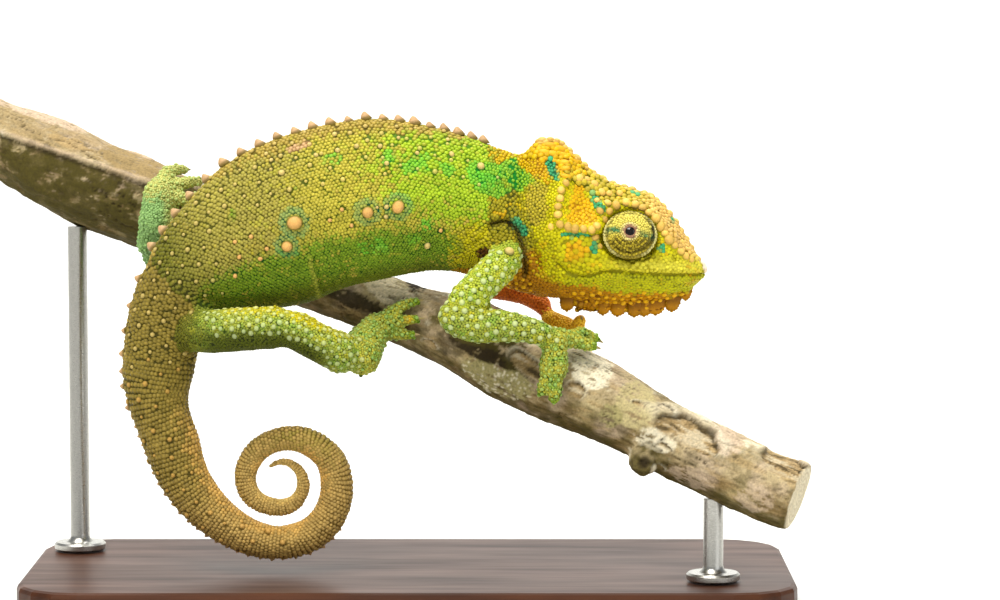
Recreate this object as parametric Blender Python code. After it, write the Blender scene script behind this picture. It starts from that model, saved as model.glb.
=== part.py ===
"""A dwarf chameleon on a cut length of branch, life size, on a plain display stand.

Metres, +Z up. The head points along +X and the animal's right side faces -Y. The origin is
under the middle of the stand's length, on the underside of its base. The keys below are in
millimetres and degrees.
"""

import math

import bmesh
import bpy
from mathutils import Matrix, Vector

MM = 0.001
GAP = 0.3  # what two touching pieces keep between them

# ---------------------------------------------------------------------------------------
# The animal's measurements

# Stations of the head, trunk and root of the tail, snout first: x and z of the middle, half
# height, lean of the upper end from upright (+ is forwards), half width.
BODY = (
    (44.7, 50.2, 0.7, 0.0, 0.8),  # 0 snout tip
    (43.6, 50.5, 2.0, -4.5, 2.2),
    (42.0, 51.4, 4.1, -4.4, 3.4),  # 2 nostrils
    (39.4, 52.7, 6.5, -2.2, 4.6),
    (36.4, 53.7, 8.2, -1.3, 5.3),
    (33.0, 54.1, 8.7, -0.2, 5.6),  # 5 eyes
    (29.2, 54.8, 9.5, 0.8, 6.0),
    (25.9, 56.2, 10.5, 0.7, 6.1),
    (24.0, 57.4, 11.6, -0.5, 6.0),
    (22.4, 58.0, 12.1, -1.8, 5.8),  # 9 top of the casque
    (19.9, 58.0, 11.9, -3.3, 5.5),
    (18.2, 57.2, 11.0, -2.8, 5.2),  # 11 nape
    (16.4, 57.4, 10.6, -2.1, 5.2),
    (13.0, 58.6, 10.6, 0.0, 5.5),  # 13 shoulders
    (8.0, 60.3, 10.6, -0.8, 5.8),
    (2.4, 61.2, 11.2, -3.0, 6.1),
    (-4.2, 61.0, 12.3, -3.3, 6.3),
    (-10.9, 59.9, 12.5, -6.6, 6.4),
    (-16.7, 57.9, 12.7, -13.8, 6.2),
    (-23.0, 55.5, 11.9, -21.1, 5.8),
    (-29.3, 51.9, 9.1, -31.7, 5.3),
    (-34.1, 47.8, 6.8, -45.6, 4.9),  # 21 pelvis
    (-36.5, 41.7, 6.1, -64.5, 4.6),
    (-37.5, 35.8, 5.6, -77.0, 4.3),
    (-37.9, 31.1, 5.0, -79.0, 4.1),
)

# The tail winds in round this centre: angle from +X, distance, half thickness.
COIL_CENTRE = (-18.9, 18.1)
TAIL = (
    (158, 18.3, 4.50),
    (176, 15.0, 3.95),
    (198, 12.1, 3.50),
    (227, 10.0, 3.00),
    (259, 9.15, 2.72),
    (293, 8.90, 2.68),
    (324, 8.55, 2.66),
    (355, 8.20, 2.60),
    (386, 8.00, 2.40),
    (418, 7.45, 2.12),
    (452, 6.75, 1.96),
    (490, 6.30, 1.88),
    (530, 5.80, 1.78),
    (569, 5.00, 1.62),
    (623, 3.75, 1.43),
    (675, 3.40, 1.28),
    (723, 3.15, 1.08),
    (769, 3.20, 0.82),
    (807, 3.32, 0.62),
    (834, 3.28, 0.48),
    (855, 3.18, 0.36),
)
TAIL_FLATNESS = 0.88  # half width over half thickness

# Each length of the body: its ends, as places along BODY and then TAIL, the sides of its
# section, and how many sections it has between two stations.
TAIL_START = len(BODY)
LENGTHS = {
    "head": (0, 11.0, 18, 1.7),
    "neck": (11.08, 13.0, 16, 2),
    "trunk": (13.09, 21.0, 16, 1.6),
    "tail_base": (21.06, 24.6, 14, 2),
    "tail_middle": (24.67, TAIL_START + 4.0, 12, 3),
    "tail_coil_outer": (TAIL_START + 4.08, TAIL_START + 10.0, 12, 2.5),
    "tail_coil_inner": (TAIL_START + 10.08, TAIL_START + 15.0, 10, 2.5),
    "tail_tip": (TAIL_START + 15.11, TAIL_START + 20.0, 8, 1.6),
}
SPACE_LENGTH = (3.0, TAIL_START + 1.0, 28, 3)  # what the legs keep clear of

# How far the section narrows towards the back and towards the belly, as a part of its width.
EYES_PLACE, CASQUE_PLACE, NAPE_PLACE = 5, 8.5, 12
NARROW_SNOUT, NARROW_CASQUE, NARROW_BACK, NARROW_TAIL = 0.30, 0.62, 0.30, 0.12
NARROW_BELLY = 0.22

# Rows of spines along the back: first and last place, number, height, radius.
TRUNK_SPINES = (13.3, 20.8, 22, 1.0, 0.62)
TAIL_SPINES = (21.4, 24.3, 7, 0.6, 0.5)
SPINE_ROOT, SPINE_LEAN, SPINE_BLUNTNESS, SPINE_SIDES = 0.9, 0.45, 0.12, 5
SPINE_UNEVENNESS, SPINE_RHYTHM = 0.15, 2.4

EYE_CENTRE, EYE_RADII = (33.1, 5.0, 55.8), (4.25, 3.7, 3.65)

# The mouth's line, snout first, and then down the back of the lower jaw.
MOUTH = (
    (46.5, 49.9),
    (44.0, 49.9),
    (38.0, 50.0),
    (34.0, 50.25),
    (31.0, 50.6),
    (28.8, 50.35),
    (26.2, 49.7),
    (24.6, 48.3),
    (24.0, 46.6),
    (23.8, 43.0),
)
MOUTH_POINTS = 6  # those of the line that lie along the mouth itself
BELOW_JAW = (46.5, 43.0)
JAW_CUT_HALF_WIDTH = 12.0

# Scalloped lobes under the throat, back to front. The last ones are shorter and sit higher.
LOBES, LOBE_FIRST_X, LOBE_RUN, LOBE_Z = 9, 25.7, 16.0, 45.5
LOBE_RADII = (1.0, 0.8, 2.1)
LOBE_FADE_START, LOBE_FADE_RISE, LOBE_FADE_SHORTER = 0.72, 1.4, 1.2

# Each leg's two lengths: keys of point, radius, flatness along Y.
LEGS = {
    "foreleg_right": {
        "upper": (
            ((15.4, -4.2, 53.0), 2.5, 0.8),
            ((13.6, -7.0, 51.2), 2.8, 0.8),
            ((11.0, -8.8, 48.8), 2.8, 0.85),
            ((8.6, -9.6, 46.2), 2.9, 0.9),
        ),
        "lower": (
            ((7.2, -10.0, 44.2), 2.8, 0.9),
            ((9.8, -10.4, 43.0), 2.75, 0.9),
            ((13.6, -10.4, 42.9), 2.6, 0.9),
            ((18.0, -10.2, 42.3), 2.05, 0.95),
            ((20.4, -9.8, 41.4), 1.9, 1.0),
        ),
    },
    "foreleg_left": {
        "upper": (
            ((15.0, 4.2, 52.6), 2.4, 0.8),
            ((12.9, 7.4, 51.0), 2.5, 0.8),
            ((11.2, 9.0, 49.6), 2.4, 0.85),
        ),
        "lower": (
            ((11.4, 9.8, 47.2), 2.1, 0.9),
            ((14.8, 9.6, 46.6), 1.9, 0.9),
            ((18.2, 8.2, 45.7), 1.7, 0.95),
            ((20.2, 7.2, 44.4), 1.6, 1.0),
        ),
    },
    "hindleg_right": {
        "upper": (
            ((-32.8, -2.6, 41.4), 3.2, 0.8),
            ((-29.0, -5.8, 41.6), 3.4, 0.85),
            ((-24.0, -8.2, 42.2), 3.4, 0.85),
            ((-19.0, -9.6, 42.6), 3.3, 0.9),
        ),
        "lower": (
            ((-16.3, -9.9, 42.2), 3.1, 0.9),
            ((-12.6, -9.0, 40.0), 3.0, 0.9),
            ((-9.6, -7.4, 38.5), 3.3, 0.9),
        ),
    },
    "hindleg_left": {
        "upper": (
            ((-32.0, 2.8, 42.8), 2.9, 0.8),
            ((-28.6, 6.4, 46.0), 2.7, 0.75),
            ((-25.4, 8.2, 49.4), 2.5, 0.75),
        ),
        "lower": (
            ((-25.6, 8.6, 52.2), 2.3, 0.8),
            ((-30.6, 9.6, 54.4), 2.3, 0.8),
            ((-35.6, 10.8, 55.6), 2.3, 0.8),
        ),
    },
}

KNEE_CLEARANCE = 0.05

# Each foot: the middle and radius of its palm, then two bundles of toes. A place on the perch
# is x along it, angle round it (0 on top, 90 towards -Y), distance out of the bark, and radius:
# first where the bundle parts into its toes, then the middle and the end of each toe.
FEET = {
    "foreleg_right": (
        (21.9, -9.0, 40.8),
        1.95,
        (
            (
                (23.1, 68, 2.0, 2.3),
                ((22.9, 84, 1.9, 1.25), (22.7, 95, 1.5, 0.9)),
                ((24.4, 86, 1.9, 1.25), (24.7, 97, 1.5, 0.9)),
            ),
            (
                (22.4, 38, 2.6, 1.75),
                ((24.0, 32, 2.4, 1.25), (25.7, 27, 2.2, 1.0)),
                ((23.6, 16, 2.2, 1.2), (25.2, 8, 1.9, 0.9)),
            ),
        ),
    ),
    "foreleg_left": (
        (21.6, 5.8, 42.2),
        1.65,
        (
            (
                (21.2, -44, 2.4, 1.7),
                ((21.2, -32, 2.9, 1.2), (21.6, -22, 3.2, 0.95)),
                ((21.8, -56, 2.2, 1.2), (22.4, -66, 1.8, 0.9)),
            ),
            ((22.6, -66, 2.0, 1.7), ((21.8, -92, 1.6, 1.3), (21.2, -112, 1.3, 0.9))),
        ),
    ),
    "hindleg_right": (
        (-6.8, -5.2, 38.0),
        3.2,
        (
            (
                (-1.9, 108, 2.2, 2.5),
                ((0.3, 72, 1.5, 1.05), (2.1, 58, 1.1, 0.75)),
                ((1.0, 90, 1.6, 1.05), (3.2, 81, 1.3, 0.75)),
                ((1.0, 108, 1.5, 1.1), (3.1, 103, 1.2, 0.8)),
            ),
            ((-4.0, 134, 1.7, 2.0), ((-4.2, 160, 1.4, 1.4), (-4.2, 182, 1.2, 0.95))),
        ),
    ),
    "hindleg_left": (
        (-38.4, 11.0, 56.9),
        3.2,
        (
            (
                (-37.8, 62, 1.6, 2.6),
                ((-38.4, 33, 1.5, 1.3), (-37.2, 12, 1.2, 0.85)),
                ((-35.8, 38, 1.4, 1.2), (-34.2, 20, 1.2, 0.85)),
                ((-34.4, 56, 1.3, 1.2), (-32.6, 40, 1.2, 0.8)),
            ),
            ((-36.8, 118, 1.6, 2.0), ((-36.4, 142, 1.4, 1.4), (-36.2, 162, 1.2, 0.9))),
        ),
    ),
}

PALM_NARROWING = 0.9  # a bundle's radius at the palm, as a part of the palm's
TOE_ROOT, TOE_ROOT_STEP = 0.72, 0.04  # a toe's radius at the fork, as a part of the fork's
CLAW_LENGTH, CLAW_RADIUS, CLAW_TIP = 0.8, 0.36, 0.3
CLAW_OVERLAP = 0.05
ROUND_END = ((0.5, 0.82), (0.85, 0.45))  # how far past a limb's end, and how thick there

# ---------------------------------------------------------------------------------------
# The perch's and the stand's measurements

# Stations of the perch: x, y, z of its middle, radius.
PERCH = (
    (-68.5, 25.6, 71.6, 5.4),
    (-63.6, 24.4, 68.7, 5.8),
    (-57.5, 23.0, 65.9, 7.2),
    (-48.5, 21.5, 61.5, 7.5),
    (-41.0, 20.0, 58.7, 7.1),
    (-27.7, 16.5, 53.4, 6.0),
    (-12.2, 11.5, 47.3, 5.3),
    (-1.4, 7.5, 43.3, 4.9),
    (7.0, 4.5, 40.7, 5.9),
    (16.8, 1.0, 36.1, 6.6),
    (25.8, -2.0, 32.3, 6.6),
    (34.7, -5.0, 28.0, 5.5),
    (41.6, -7.0, 24.3, 5.4),
    (51.4, -10.0, 19.8, 5.5),
    (58.0, -12.0, 17.6, 5.7),
)
PERCH_SIDES, PERCH_STEPS, PERCH_SPACE_STEPS = 12, 19, 60
KNOT_CENTRE, KNOT_RADII = (35.0, -9.2, 22.6), (2.6, 2.4, 2.6)

# Slow swellings of the bark: part of the radius, waves round the perch, turn of the waves
# from one station to the next, and where they start.
BARK_WAVES = (
    (0.035, 2, 1.7, 0.0),
    (0.03, 3, -2.9, 1.0),
    (0.02, 5, 4.1, 0.0),
)

BASE_LENGTH, BASE_DEPTH, BASE_HEIGHT = 116.0, 54.0, 4.4
BASE_MIDDLE_Y = 8.0
BASE_CORNER, BASE_CHAMFER = 10.0, 0.8
ROD_RADIUS, ROD_SIDES = 1.5, 10
ROD_FLANGE_RADIUS, ROD_FLANGE_HEIGHT = 4.0, 1.2
RODS = {"stand_rod_left": -52.0, "stand_rod_right": 45.5}

SHARP_ANGLE = math.radians(40)

# ---------------------------------------------------------------------------------------
# Scene


def clear_scene():
    for obj in list(bpy.data.objects):
        bpy.data.objects.remove(obj, do_unlink=True)


def collection(name):
    made = bpy.data.collections.new(name)
    bpy.context.scene.collection.children.link(made)
    return made


clear_scene()
PIECES = collection("dwarf_chameleon")
CUTTERS = collection("cutters")


def material(name, colour, roughness, metallic=0.0):
    made = bpy.data.materials.new(name)
    made.use_nodes = True
    shader = made.node_tree.nodes["Principled BSDF"]
    shader.inputs["Base Color"].default_value = (*colour, 1.0)
    shader.inputs["Roughness"].default_value = roughness
    shader.inputs["Metallic"].default_value = metallic
    made.diffuse_color = (*colour, 1.0)
    return made


SKIN_BACK = material("skin_back", (0.22, 0.24, 0.04), 0.6)
SKIN_HEAD = material("skin_head", (0.45, 0.40, 0.03), 0.55)
SKIN_LEG = material("skin_leg", (0.25, 0.33, 0.06), 0.6)
SKIN_TAIL = material("skin_tail", (0.25, 0.17, 0.05), 0.65)
EYE = material("eye", (0.45, 0.42, 0.12), 0.45)
BARK = material("bark", (0.35, 0.30, 0.24), 0.9)
STAND_WOOD = material("stand_wood", (0.16, 0.09, 0.05), 0.4)
STAND_METAL = material("stand_metal", (0.6, 0.6, 0.6), 0.3, 1.0)

FINISHES = {"head": SKIN_HEAD, "neck": SKIN_HEAD, "trunk": SKIN_BACK}

# ---------------------------------------------------------------------------------------
# Shapes. They take millimetres.


def mesh_object(name, bm, finish, where):
    bmesh.ops.recalc_face_normals(bm, faces=bm.faces)
    mesh = bpy.data.meshes.new(name)
    bm.to_mesh(mesh)
    bm.free()
    mesh.shade_smooth()
    mesh.set_sharp_from_angle(angle=SHARP_ANGLE)
    obj = bpy.data.objects.new(name, mesh)
    where.objects.link(obj)
    if where is CUTTERS:
        obj.hide_render = True
        obj.display_type = "WIRE"
    if finish:
        mesh.materials.append(finish)
    return obj


def loft(name, rings, finish, where=PIECES):
    """One closed body through rings of equal length, with a flat end at each."""
    bm = bmesh.new()
    rows = [[bm.verts.new(point * MM) for point in ring] for ring in rings]
    for near, far in zip(rows, rows[1:]):
        for i, a in enumerate(near):
            j = (i + 1) % len(near)
            bm.faces.new((a, near[j], far[j], far[i]))
    bm.faces.new(rows[0])
    bm.faces.new(rows[-1])
    return mesh_object(name, bm, finish, where)


def prism(name, outline, half_width):
    """A closed outline of x and z pushed half_width each way along Y."""
    bm = bmesh.new()
    corners = [bm.verts.new(Vector((x, -half_width, z)) * MM) for x, z in outline]
    face = bm.faces.new(corners)
    pushed = bmesh.ops.extrude_face_region(bm, geom=[face])["geom"]
    moved = [item for item in pushed if isinstance(item, bmesh.types.BMVert)]
    bmesh.ops.translate(bm, vec=(0, 2 * half_width * MM, 0), verts=moved)
    return mesh_object(name, bm, None, CUTTERS)


def ellipsoid(name, centre, radii, finish, where, segments=10, rings=8):
    """An ellipsoid whose poles lie along Y."""
    bm = bmesh.new()
    bmesh.ops.create_uvsphere(bm, u_segments=segments, v_segments=rings, radius=1)
    shape = Matrix.LocRotScale(Vector(centre) * MM, None, Vector(radii) * MM)
    spin = Matrix.Rotation(math.radians(90), 4, "X")
    bmesh.ops.transform(bm, matrix=shape @ spin, verts=bm.verts)
    return mesh_object(name, bm, finish, where)


def boolean(obj, other, operation, solver="EXACT"):
    modifier = obj.modifiers.new(operation.lower() + "_" + other.name, "BOOLEAN")
    modifier.object = other
    modifier.operation = operation
    modifier.solver = solver


def smooth(keys, place):
    """The keys' numbers at a place between them, on a Catmull-Rom curve."""
    first = min(int(place), len(keys) - 2)
    t = place - first
    around = [keys[min(max(first + k, 0), len(keys) - 1)] for k in (-1, 0, 1, 2)]
    weights = (
        (-t + 2 * t**2 - t**3) / 2,
        (2 - 5 * t**2 + 3 * t**3) / 2,
        (t + 4 * t**2 - 3 * t**3) / 2,
        (-(t**2) + t**3) / 2,
    )
    return [sum(w * n for w, n in zip(weights, numbers)) for numbers in zip(*around)]


# ---------------------------------------------------------------------------------------
# Head, trunk and tail


def tail_stations():
    """The tail's keys in the form that BODY has, the upper side of each the outer one.

    Where the coil tightens, each station turns in with it.
    """
    stations = []
    for i, (angle, distance, half) in enumerate(TAIL):
        before, after = TAIL[max(i - 1, 0)], TAIL[min(i + 1, len(TAIL) - 1)]
        along = math.radians(after[0] - before[0]) * distance
        turn_in = math.degrees(math.atan2(after[1] - before[1], along))
        x = COIL_CENTRE[0] + distance * math.cos(math.radians(angle))
        z = COIL_CENTRE[1] + distance * math.sin(math.radians(angle))
        stations.append((x, z, half, 90 - angle + turn_in, half * TAIL_FLATNESS))
    return stations


STATIONS = [*BODY, *tail_stations()]


def narrowing(place):
    """How far the section narrows towards the back: most on the casque, least on the tail."""
    if place <= EYES_PLACE:
        return NARROW_SNOUT
    if place <= NAPE_PLACE:
        away = abs(place - CASQUE_PLACE) / (NAPE_PLACE - CASQUE_PLACE)
        return NARROW_CASQUE + (NARROW_BACK - NARROW_CASQUE) * away
    return NARROW_BACK if place < TAIL_START - 3 else NARROW_TAIL


def body_frame(place):
    """(middle, upward direction, half height, half width) at a place along the body."""
    x, z, half, lean, width = smooth(STATIONS, place)
    lean = math.radians(lean)
    up = Vector((math.sin(lean), 0, math.cos(lean)))
    return Vector((x, 0, z)), up, half, width


def body_ring(place, sides, grow):
    middle, up, half, width = body_frame(place)
    ring = []
    for i in range(sides):
        rise = math.cos(math.tau * i / sides)
        side = math.sin(math.tau * i / sides)
        side *= 1 - narrowing(place) * max(rise, 0) - NARROW_BELLY * max(-rise, 0)
        reach = Vector((0, side * (width + grow), 0))
        ring.append(middle + up * rise * (half + grow) + reach)
    return ring


def body_length(name, length, finish, grow=0.0, where=PIECES):
    start, end, sides, per_station = length
    steps = max(2, round((end - start) * per_station))
    places = [start + (end - start) * i / steps for i in range(steps + 1)]
    return loft(name, [body_ring(place, sides, grow) for place in places], finish, where)


def cone(bm, base, tip, radius):
    axis = tip - base
    turn = axis.to_track_quat("Z", "Y").to_matrix().to_4x4()
    bmesh.ops.create_cone(
        bm,
        cap_ends=True,
        segments=SPINE_SIDES,
        radius1=radius * MM,
        radius2=SPINE_BLUNTNESS * radius * MM,
        depth=axis.length * MM,
        matrix=Matrix.Translation((base + tip) / 2 * MM) @ turn,
    )


def back_spines(name, row):
    """A row of spines along the back, leaning to the tail, sunk into the body at their roots."""
    start, end, count, height, radius = row
    bm = bmesh.new()
    for i in range(count):
        place = start + (end - start) * i / (count - 1)
        middle, up, half, _ = body_frame(place)
        ahead = body_frame(place - 0.05)[0] - body_frame(place + 0.05)[0]
        ahead.normalize()
        tall = height * (1 - SPINE_UNEVENNESS * (1 - math.cos(SPINE_RHYTHM * i)))
        root = middle + up * (half - SPINE_ROOT)
        tip = middle + up * (half + tall) - ahead * SPINE_LEAN
        cone(bm, root, tip, radius)
    return mesh_object(name, bm, None, CUTTERS)


def jaw_outline(drop):
    """The space of the lower jaw, its mouth line lower and its back further forward by drop."""
    along = [(x, z - drop) for x, z in MOUTH[:MOUTH_POINTS]]
    back = [(x + drop, z - drop) for x, z in MOUTH[MOUTH_POINTS:]]
    return [*along, *back, (BELOW_JAW[0] + drop, BELOW_JAW[1] - drop)]


def add_jaw(head):
    """Divides the lower jaw from the head at the mouth's line, and hangs the lobes under it."""
    jaw = body_length("lower_jaw", LENGTHS["head"], SKIN_HEAD)
    space = prism("jaw_space", jaw_outline(0.0), JAW_CUT_HALF_WIDTH)
    boolean(head, space, "DIFFERENCE")
    keep = prism("jaw_keep", jaw_outline(GAP), JAW_CUT_HALF_WIDTH)
    boolean(jaw, keep, "INTERSECT")
    for i in range(LOBES):
        share = i / (LOBES - 1)
        fade = max(share - LOBE_FADE_START, 0) / (1 - LOBE_FADE_START)
        centre = (LOBE_FIRST_X + share * LOBE_RUN, 0, LOBE_Z + LOBE_FADE_RISE * fade)
        radii = (*LOBE_RADII[:2], LOBE_RADII[2] - LOBE_FADE_SHORTER * fade)
        lobe = ellipsoid(f"gular_lobe_{i}", centre, radii, None, CUTTERS, 5, 4)
        boolean(jaw, lobe, "UNION")


def add_eyes(head):
    """Turrets in sockets that leave a gap all round."""
    x, y, z = EYE_CENTRE
    for side, sign in (("right", -1), ("left", 1)):
        centre = (x, sign * y, z)
        ellipsoid("eye_" + side, centre, EYE_RADII, EYE, PIECES)
        radii = [radius + GAP for radius in EYE_RADII]
        socket = ellipsoid("socket_" + side, centre, radii, None, CUTTERS, 12, 8)
        boolean(head, socket, "DIFFERENCE")


def add_body():
    body = {
        name: body_length(name, length, FINISHES.get(name, SKIN_TAIL))
        for name, length in LENGTHS.items()
    }
    boolean(body["trunk"], back_spines("trunk_spines", TRUNK_SPINES), "UNION")
    boolean(body["tail_base"], back_spines("tail_spines", TAIL_SPINES), "UNION")
    add_jaw(body["head"])
    add_eyes(body["head"])


# ---------------------------------------------------------------------------------------
# Perch


def perch_frame(place):
    """(middle, direction along, direction towards -Y, upward direction, radius) at a place."""
    x, y, z, radius = smooth(PERCH, place)
    ahead = Vector(smooth(PERCH, min(place + 0.05, len(PERCH) - 1))[:3])
    behind = Vector(smooth(PERCH, max(place - 0.05, 0))[:3])
    along = (ahead - behind).normalized()
    side = along.cross(Vector((0, 0, 1))).normalized()
    return Vector((x, y, z)), along, side, side.cross(along), radius


def perch_place(x):
    """The place along the perch where its middle is at this x."""
    low, high = 0.0, len(PERCH) - 1.0
    while high - low > 1e-4:
        middle = (low + high) / 2
        if smooth(PERCH, middle)[0] < x:
            low = middle
        else:
            high = middle
    return low


def on_perch(x, angle, out):
    """A point this far out of the bark. Angle 0 is on top and 90 faces -Y."""
    middle, _, side, up, radius = perch_frame(perch_place(x))
    turn = math.radians(angle)
    return middle + (up * math.cos(turn) + side * math.sin(turn)) * (radius + out)


def bark_swell(place, angle):
    """Slow unevenness of the bark, as a part of the radius."""
    return sum(
        part * math.sin(waves * angle + turn * place + start)
        for part, waves, turn, start in BARK_WAVES
    )


def perch_body(name, finish, steps, grow=0.0, where=PIECES):
    rings = []
    for i in range(steps + 1):
        place = (len(PERCH) - 1) * i / steps
        middle, along, side, up, radius = perch_frame(place)
        if i == 0:
            middle -= along * grow
        elif i == steps:
            middle += along * grow
        ring = []
        for k in range(PERCH_SIDES):
            angle = math.tau * k / PERCH_SIDES
            reach = radius * (1 + bark_swell(place, angle)) + grow
            ring.append(middle + (up * math.cos(angle) + side * math.sin(angle)) * reach)
        rings.append(ring)
    return loft(name, rings, finish, where)


def add_perch():
    perch = perch_body("perch_branch", BARK, PERCH_STEPS)
    knot = ellipsoid("knot", KNOT_CENTRE, KNOT_RADII, None, CUTTERS, 8, 6)
    boolean(perch, knot, "UNION")


# ---------------------------------------------------------------------------------------
# Legs and feet


def claw_slices(radius):
    """Where a claw goes on from a toe's round end, in the form that ROUND_END has."""
    start, end = ROUND_END[-1][0], CLAW_RADIUS / radius
    return (
        (start + CLAW_OVERLAP / radius, end),
        (start + CLAW_LENGTH / radius, CLAW_TIP * end),
    )


def tube(name, keys, finish, sides, per_key, where=PIECES, clawed=False):
    """A limb or toe through keys of (point, radius, flatness along Y), with round ends.

    A clawed one starts flat, inside the foot, and goes on past its far end into a claw.
    """
    numbers = [(*point, radius, flat) for point, radius, flat in keys]
    steps = (len(keys) - 1) * per_key
    samples = [smooth(numbers, (len(keys) - 1) * i / steps) for i in range(steps + 1)]
    points = [Vector(sample[:3]) for sample in samples]
    rings = []
    for i, (*_, radius, flat) in enumerate(samples):
        along = (points[min(i + 1, steps)] - points[max(i - 1, 0)]).normalized()
        across = (Vector((0, 1, 0)) - along * along.y).normalized()
        other = along.cross(across)
        slices = [(0.0, 1.0)]
        if i == 0 and not clawed:
            slices = [(-ahead, part) for ahead, part in reversed(ROUND_END)] + slices
        if i == steps:
            slices += ROUND_END
            slices += claw_slices(radius) if clawed else ()
        for ahead, part in slices:
            middle = points[i] + along * ahead * radius
            wide, tall = across * radius * flat * part, other * radius * part
            turns = [math.tau * k / sides for k in range(sides)]
            rings.append([middle + wide * math.cos(t) + tall * math.sin(t) for t in turns])
    return loft(name, rings, finish, where)


def perch_key(x, angle, out, radius):
    return on_perch(x, angle, out), radius, 1.0


def foot(name, palm, palm_radius, bundles):
    """A palm with two bundles of toes that grip the perch from its two sides."""
    obj = ellipsoid(name + "_foot", palm, (palm_radius,) * 3, SKIN_LEG, PIECES, 8, 6)
    for i, (root, *toes) in enumerate(bundles):
        point, radius, _ = fork = perch_key(*root)
        keys = ((palm, palm_radius * PALM_NARROWING, 1.0), fork)
        bundle = tube(f"{name}_bundle_{i}", keys, None, 8, 1, CUTTERS)
        boolean(obj, bundle, "UNION", "MANIFOLD")
        for k, toe_keys in enumerate(toes):
            start = (point, radius * (TOE_ROOT - TOE_ROOT_STEP * k), 1.0)
            keys = [start, *(perch_key(*key) for key in toe_keys)]
            toe = tube(f"{name}_toe_{i}_{k}", keys, None, 5, 2, CUTTERS, clawed=True)
            boolean(obj, toe, "UNION", "MANIFOLD")
    return obj


def add_legs():
    """Every leg keeps a gap to the body and to the perch, and its lengths to each other."""
    body_space = body_length("body_space", SPACE_LENGTH, None, GAP, CUTTERS)
    perch_space = perch_body("perch_space", None, PERCH_SPACE_STEPS, GAP, CUTTERS)
    for name, lengths in LEGS.items():
        upper, lower = [
            tube(f"{name}_{part}", keys, SKIN_LEG, 8, 2) for part, keys in lengths.items()
        ]
        for length in (upper, lower):
            boolean(length, body_space, "DIFFERENCE")
            boolean(length, perch_space, "DIFFERENCE")
        sole = foot(name, *FEET[name])
        boolean(sole, perch_space, "DIFFERENCE", "MANIFOLD")
        boolean(sole, body_space, "DIFFERENCE", "MANIFOLD")
        wider = [
            (point, radius + KNEE_CLEARANCE + GAP, flat)
            for point, radius, flat in lengths["lower"]
        ]
        lower_space = tube(f"{name}_lower_space", wider, None, 10, 2, CUTTERS)
        boolean(upper, lower_space, "DIFFERENCE")
        boolean(sole, lower_space, "DIFFERENCE", "MANIFOLD")
    return perch_space


# ---------------------------------------------------------------------------------------
# Stand


def add_base():
    """A block with round corners and a small chamfer round its top."""
    bm = bmesh.new()
    bmesh.ops.create_cube(bm, size=1)
    size = Matrix.Diagonal((BASE_LENGTH * MM, BASE_DEPTH * MM, BASE_HEIGHT * MM, 1))
    lift = Matrix.Translation(Vector((0, BASE_MIDDLE_Y, BASE_HEIGHT / 2)) * MM)
    bmesh.ops.transform(bm, matrix=lift @ size, verts=bm.verts)
    uprights = [e for e in bm.edges if abs(e.verts[0].co.z - e.verts[1].co.z) > MM]
    bmesh.ops.bevel(bm, geom=uprights, offset=BASE_CORNER * MM, segments=4, affect="EDGES", profile=0.5)
    top = [e for e in bm.edges if min(p.co.z for p in e.verts) > (BASE_HEIGHT - GAP) * MM]
    bmesh.ops.bevel(bm, geom=top, offset=BASE_CHAMFER * MM, segments=2, affect="EDGES", profile=0.5)
    mesh_object("stand_base", bm, STAND_WOOD, PIECES)


def add_rod(name, x, perch_space):
    """A round rod on a flat flange, from the base up to the underside of the perch."""
    middle = perch_frame(perch_place(x))[0]
    low = BASE_HEIGHT + GAP
    shoulder = low + ROD_FLANGE_HEIGHT
    profile = (
        (ROD_RADIUS, middle.z),
        (ROD_RADIUS, shoulder),
        (ROD_FLANGE_RADIUS, shoulder),
        (ROD_FLANGE_RADIUS, low),
    )
    rings = []
    for radius, z in profile:
        turns = [math.tau * k / ROD_SIDES for k in range(ROD_SIDES)]
        around = [Vector((math.cos(t), math.sin(t), 0)) * radius for t in turns]
        rings.append([Vector((middle.x, middle.y, z)) + step for step in around])
    rod = loft(name, rings, STAND_METAL)
    boolean(rod, perch_space, "DIFFERENCE")


add_body()
add_perch()
perch_space = add_legs()
add_base()
for name, x in RODS.items():
    add_rod(name, x, perch_space)
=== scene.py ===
"""Looks of the dwarf chameleon: its skin and scales, eyes and claws, the bark, the stand and the light.

Lengths are in millimetres until a mesh is made of them. x, y and z are the frame's own axes:
the snout is at +X and the right side faces -Y.
"""

import math
from types import SimpleNamespace

import bmesh
import bpy
import numpy as np
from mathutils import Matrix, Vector, kdtree, noise
from mathutils.bvhtree import BVHTree


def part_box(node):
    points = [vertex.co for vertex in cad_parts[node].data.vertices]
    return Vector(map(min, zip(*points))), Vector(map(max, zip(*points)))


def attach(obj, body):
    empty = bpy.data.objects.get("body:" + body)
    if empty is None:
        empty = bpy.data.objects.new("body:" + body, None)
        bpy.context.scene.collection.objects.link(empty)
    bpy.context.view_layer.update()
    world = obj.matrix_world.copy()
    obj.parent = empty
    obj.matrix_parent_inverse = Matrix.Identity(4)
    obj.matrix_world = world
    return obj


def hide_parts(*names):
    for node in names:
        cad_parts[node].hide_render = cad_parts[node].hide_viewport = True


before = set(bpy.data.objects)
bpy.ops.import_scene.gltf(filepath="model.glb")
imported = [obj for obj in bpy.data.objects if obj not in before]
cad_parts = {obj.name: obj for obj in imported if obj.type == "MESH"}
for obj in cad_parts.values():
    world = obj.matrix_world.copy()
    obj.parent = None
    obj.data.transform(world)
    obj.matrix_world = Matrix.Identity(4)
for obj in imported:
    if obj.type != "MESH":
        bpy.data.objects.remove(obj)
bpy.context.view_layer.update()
MM = 0.001
rng = np.random.default_rng(11)

# ---------------------------------------------------------------------------------------
# The animal's nodes

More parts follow.
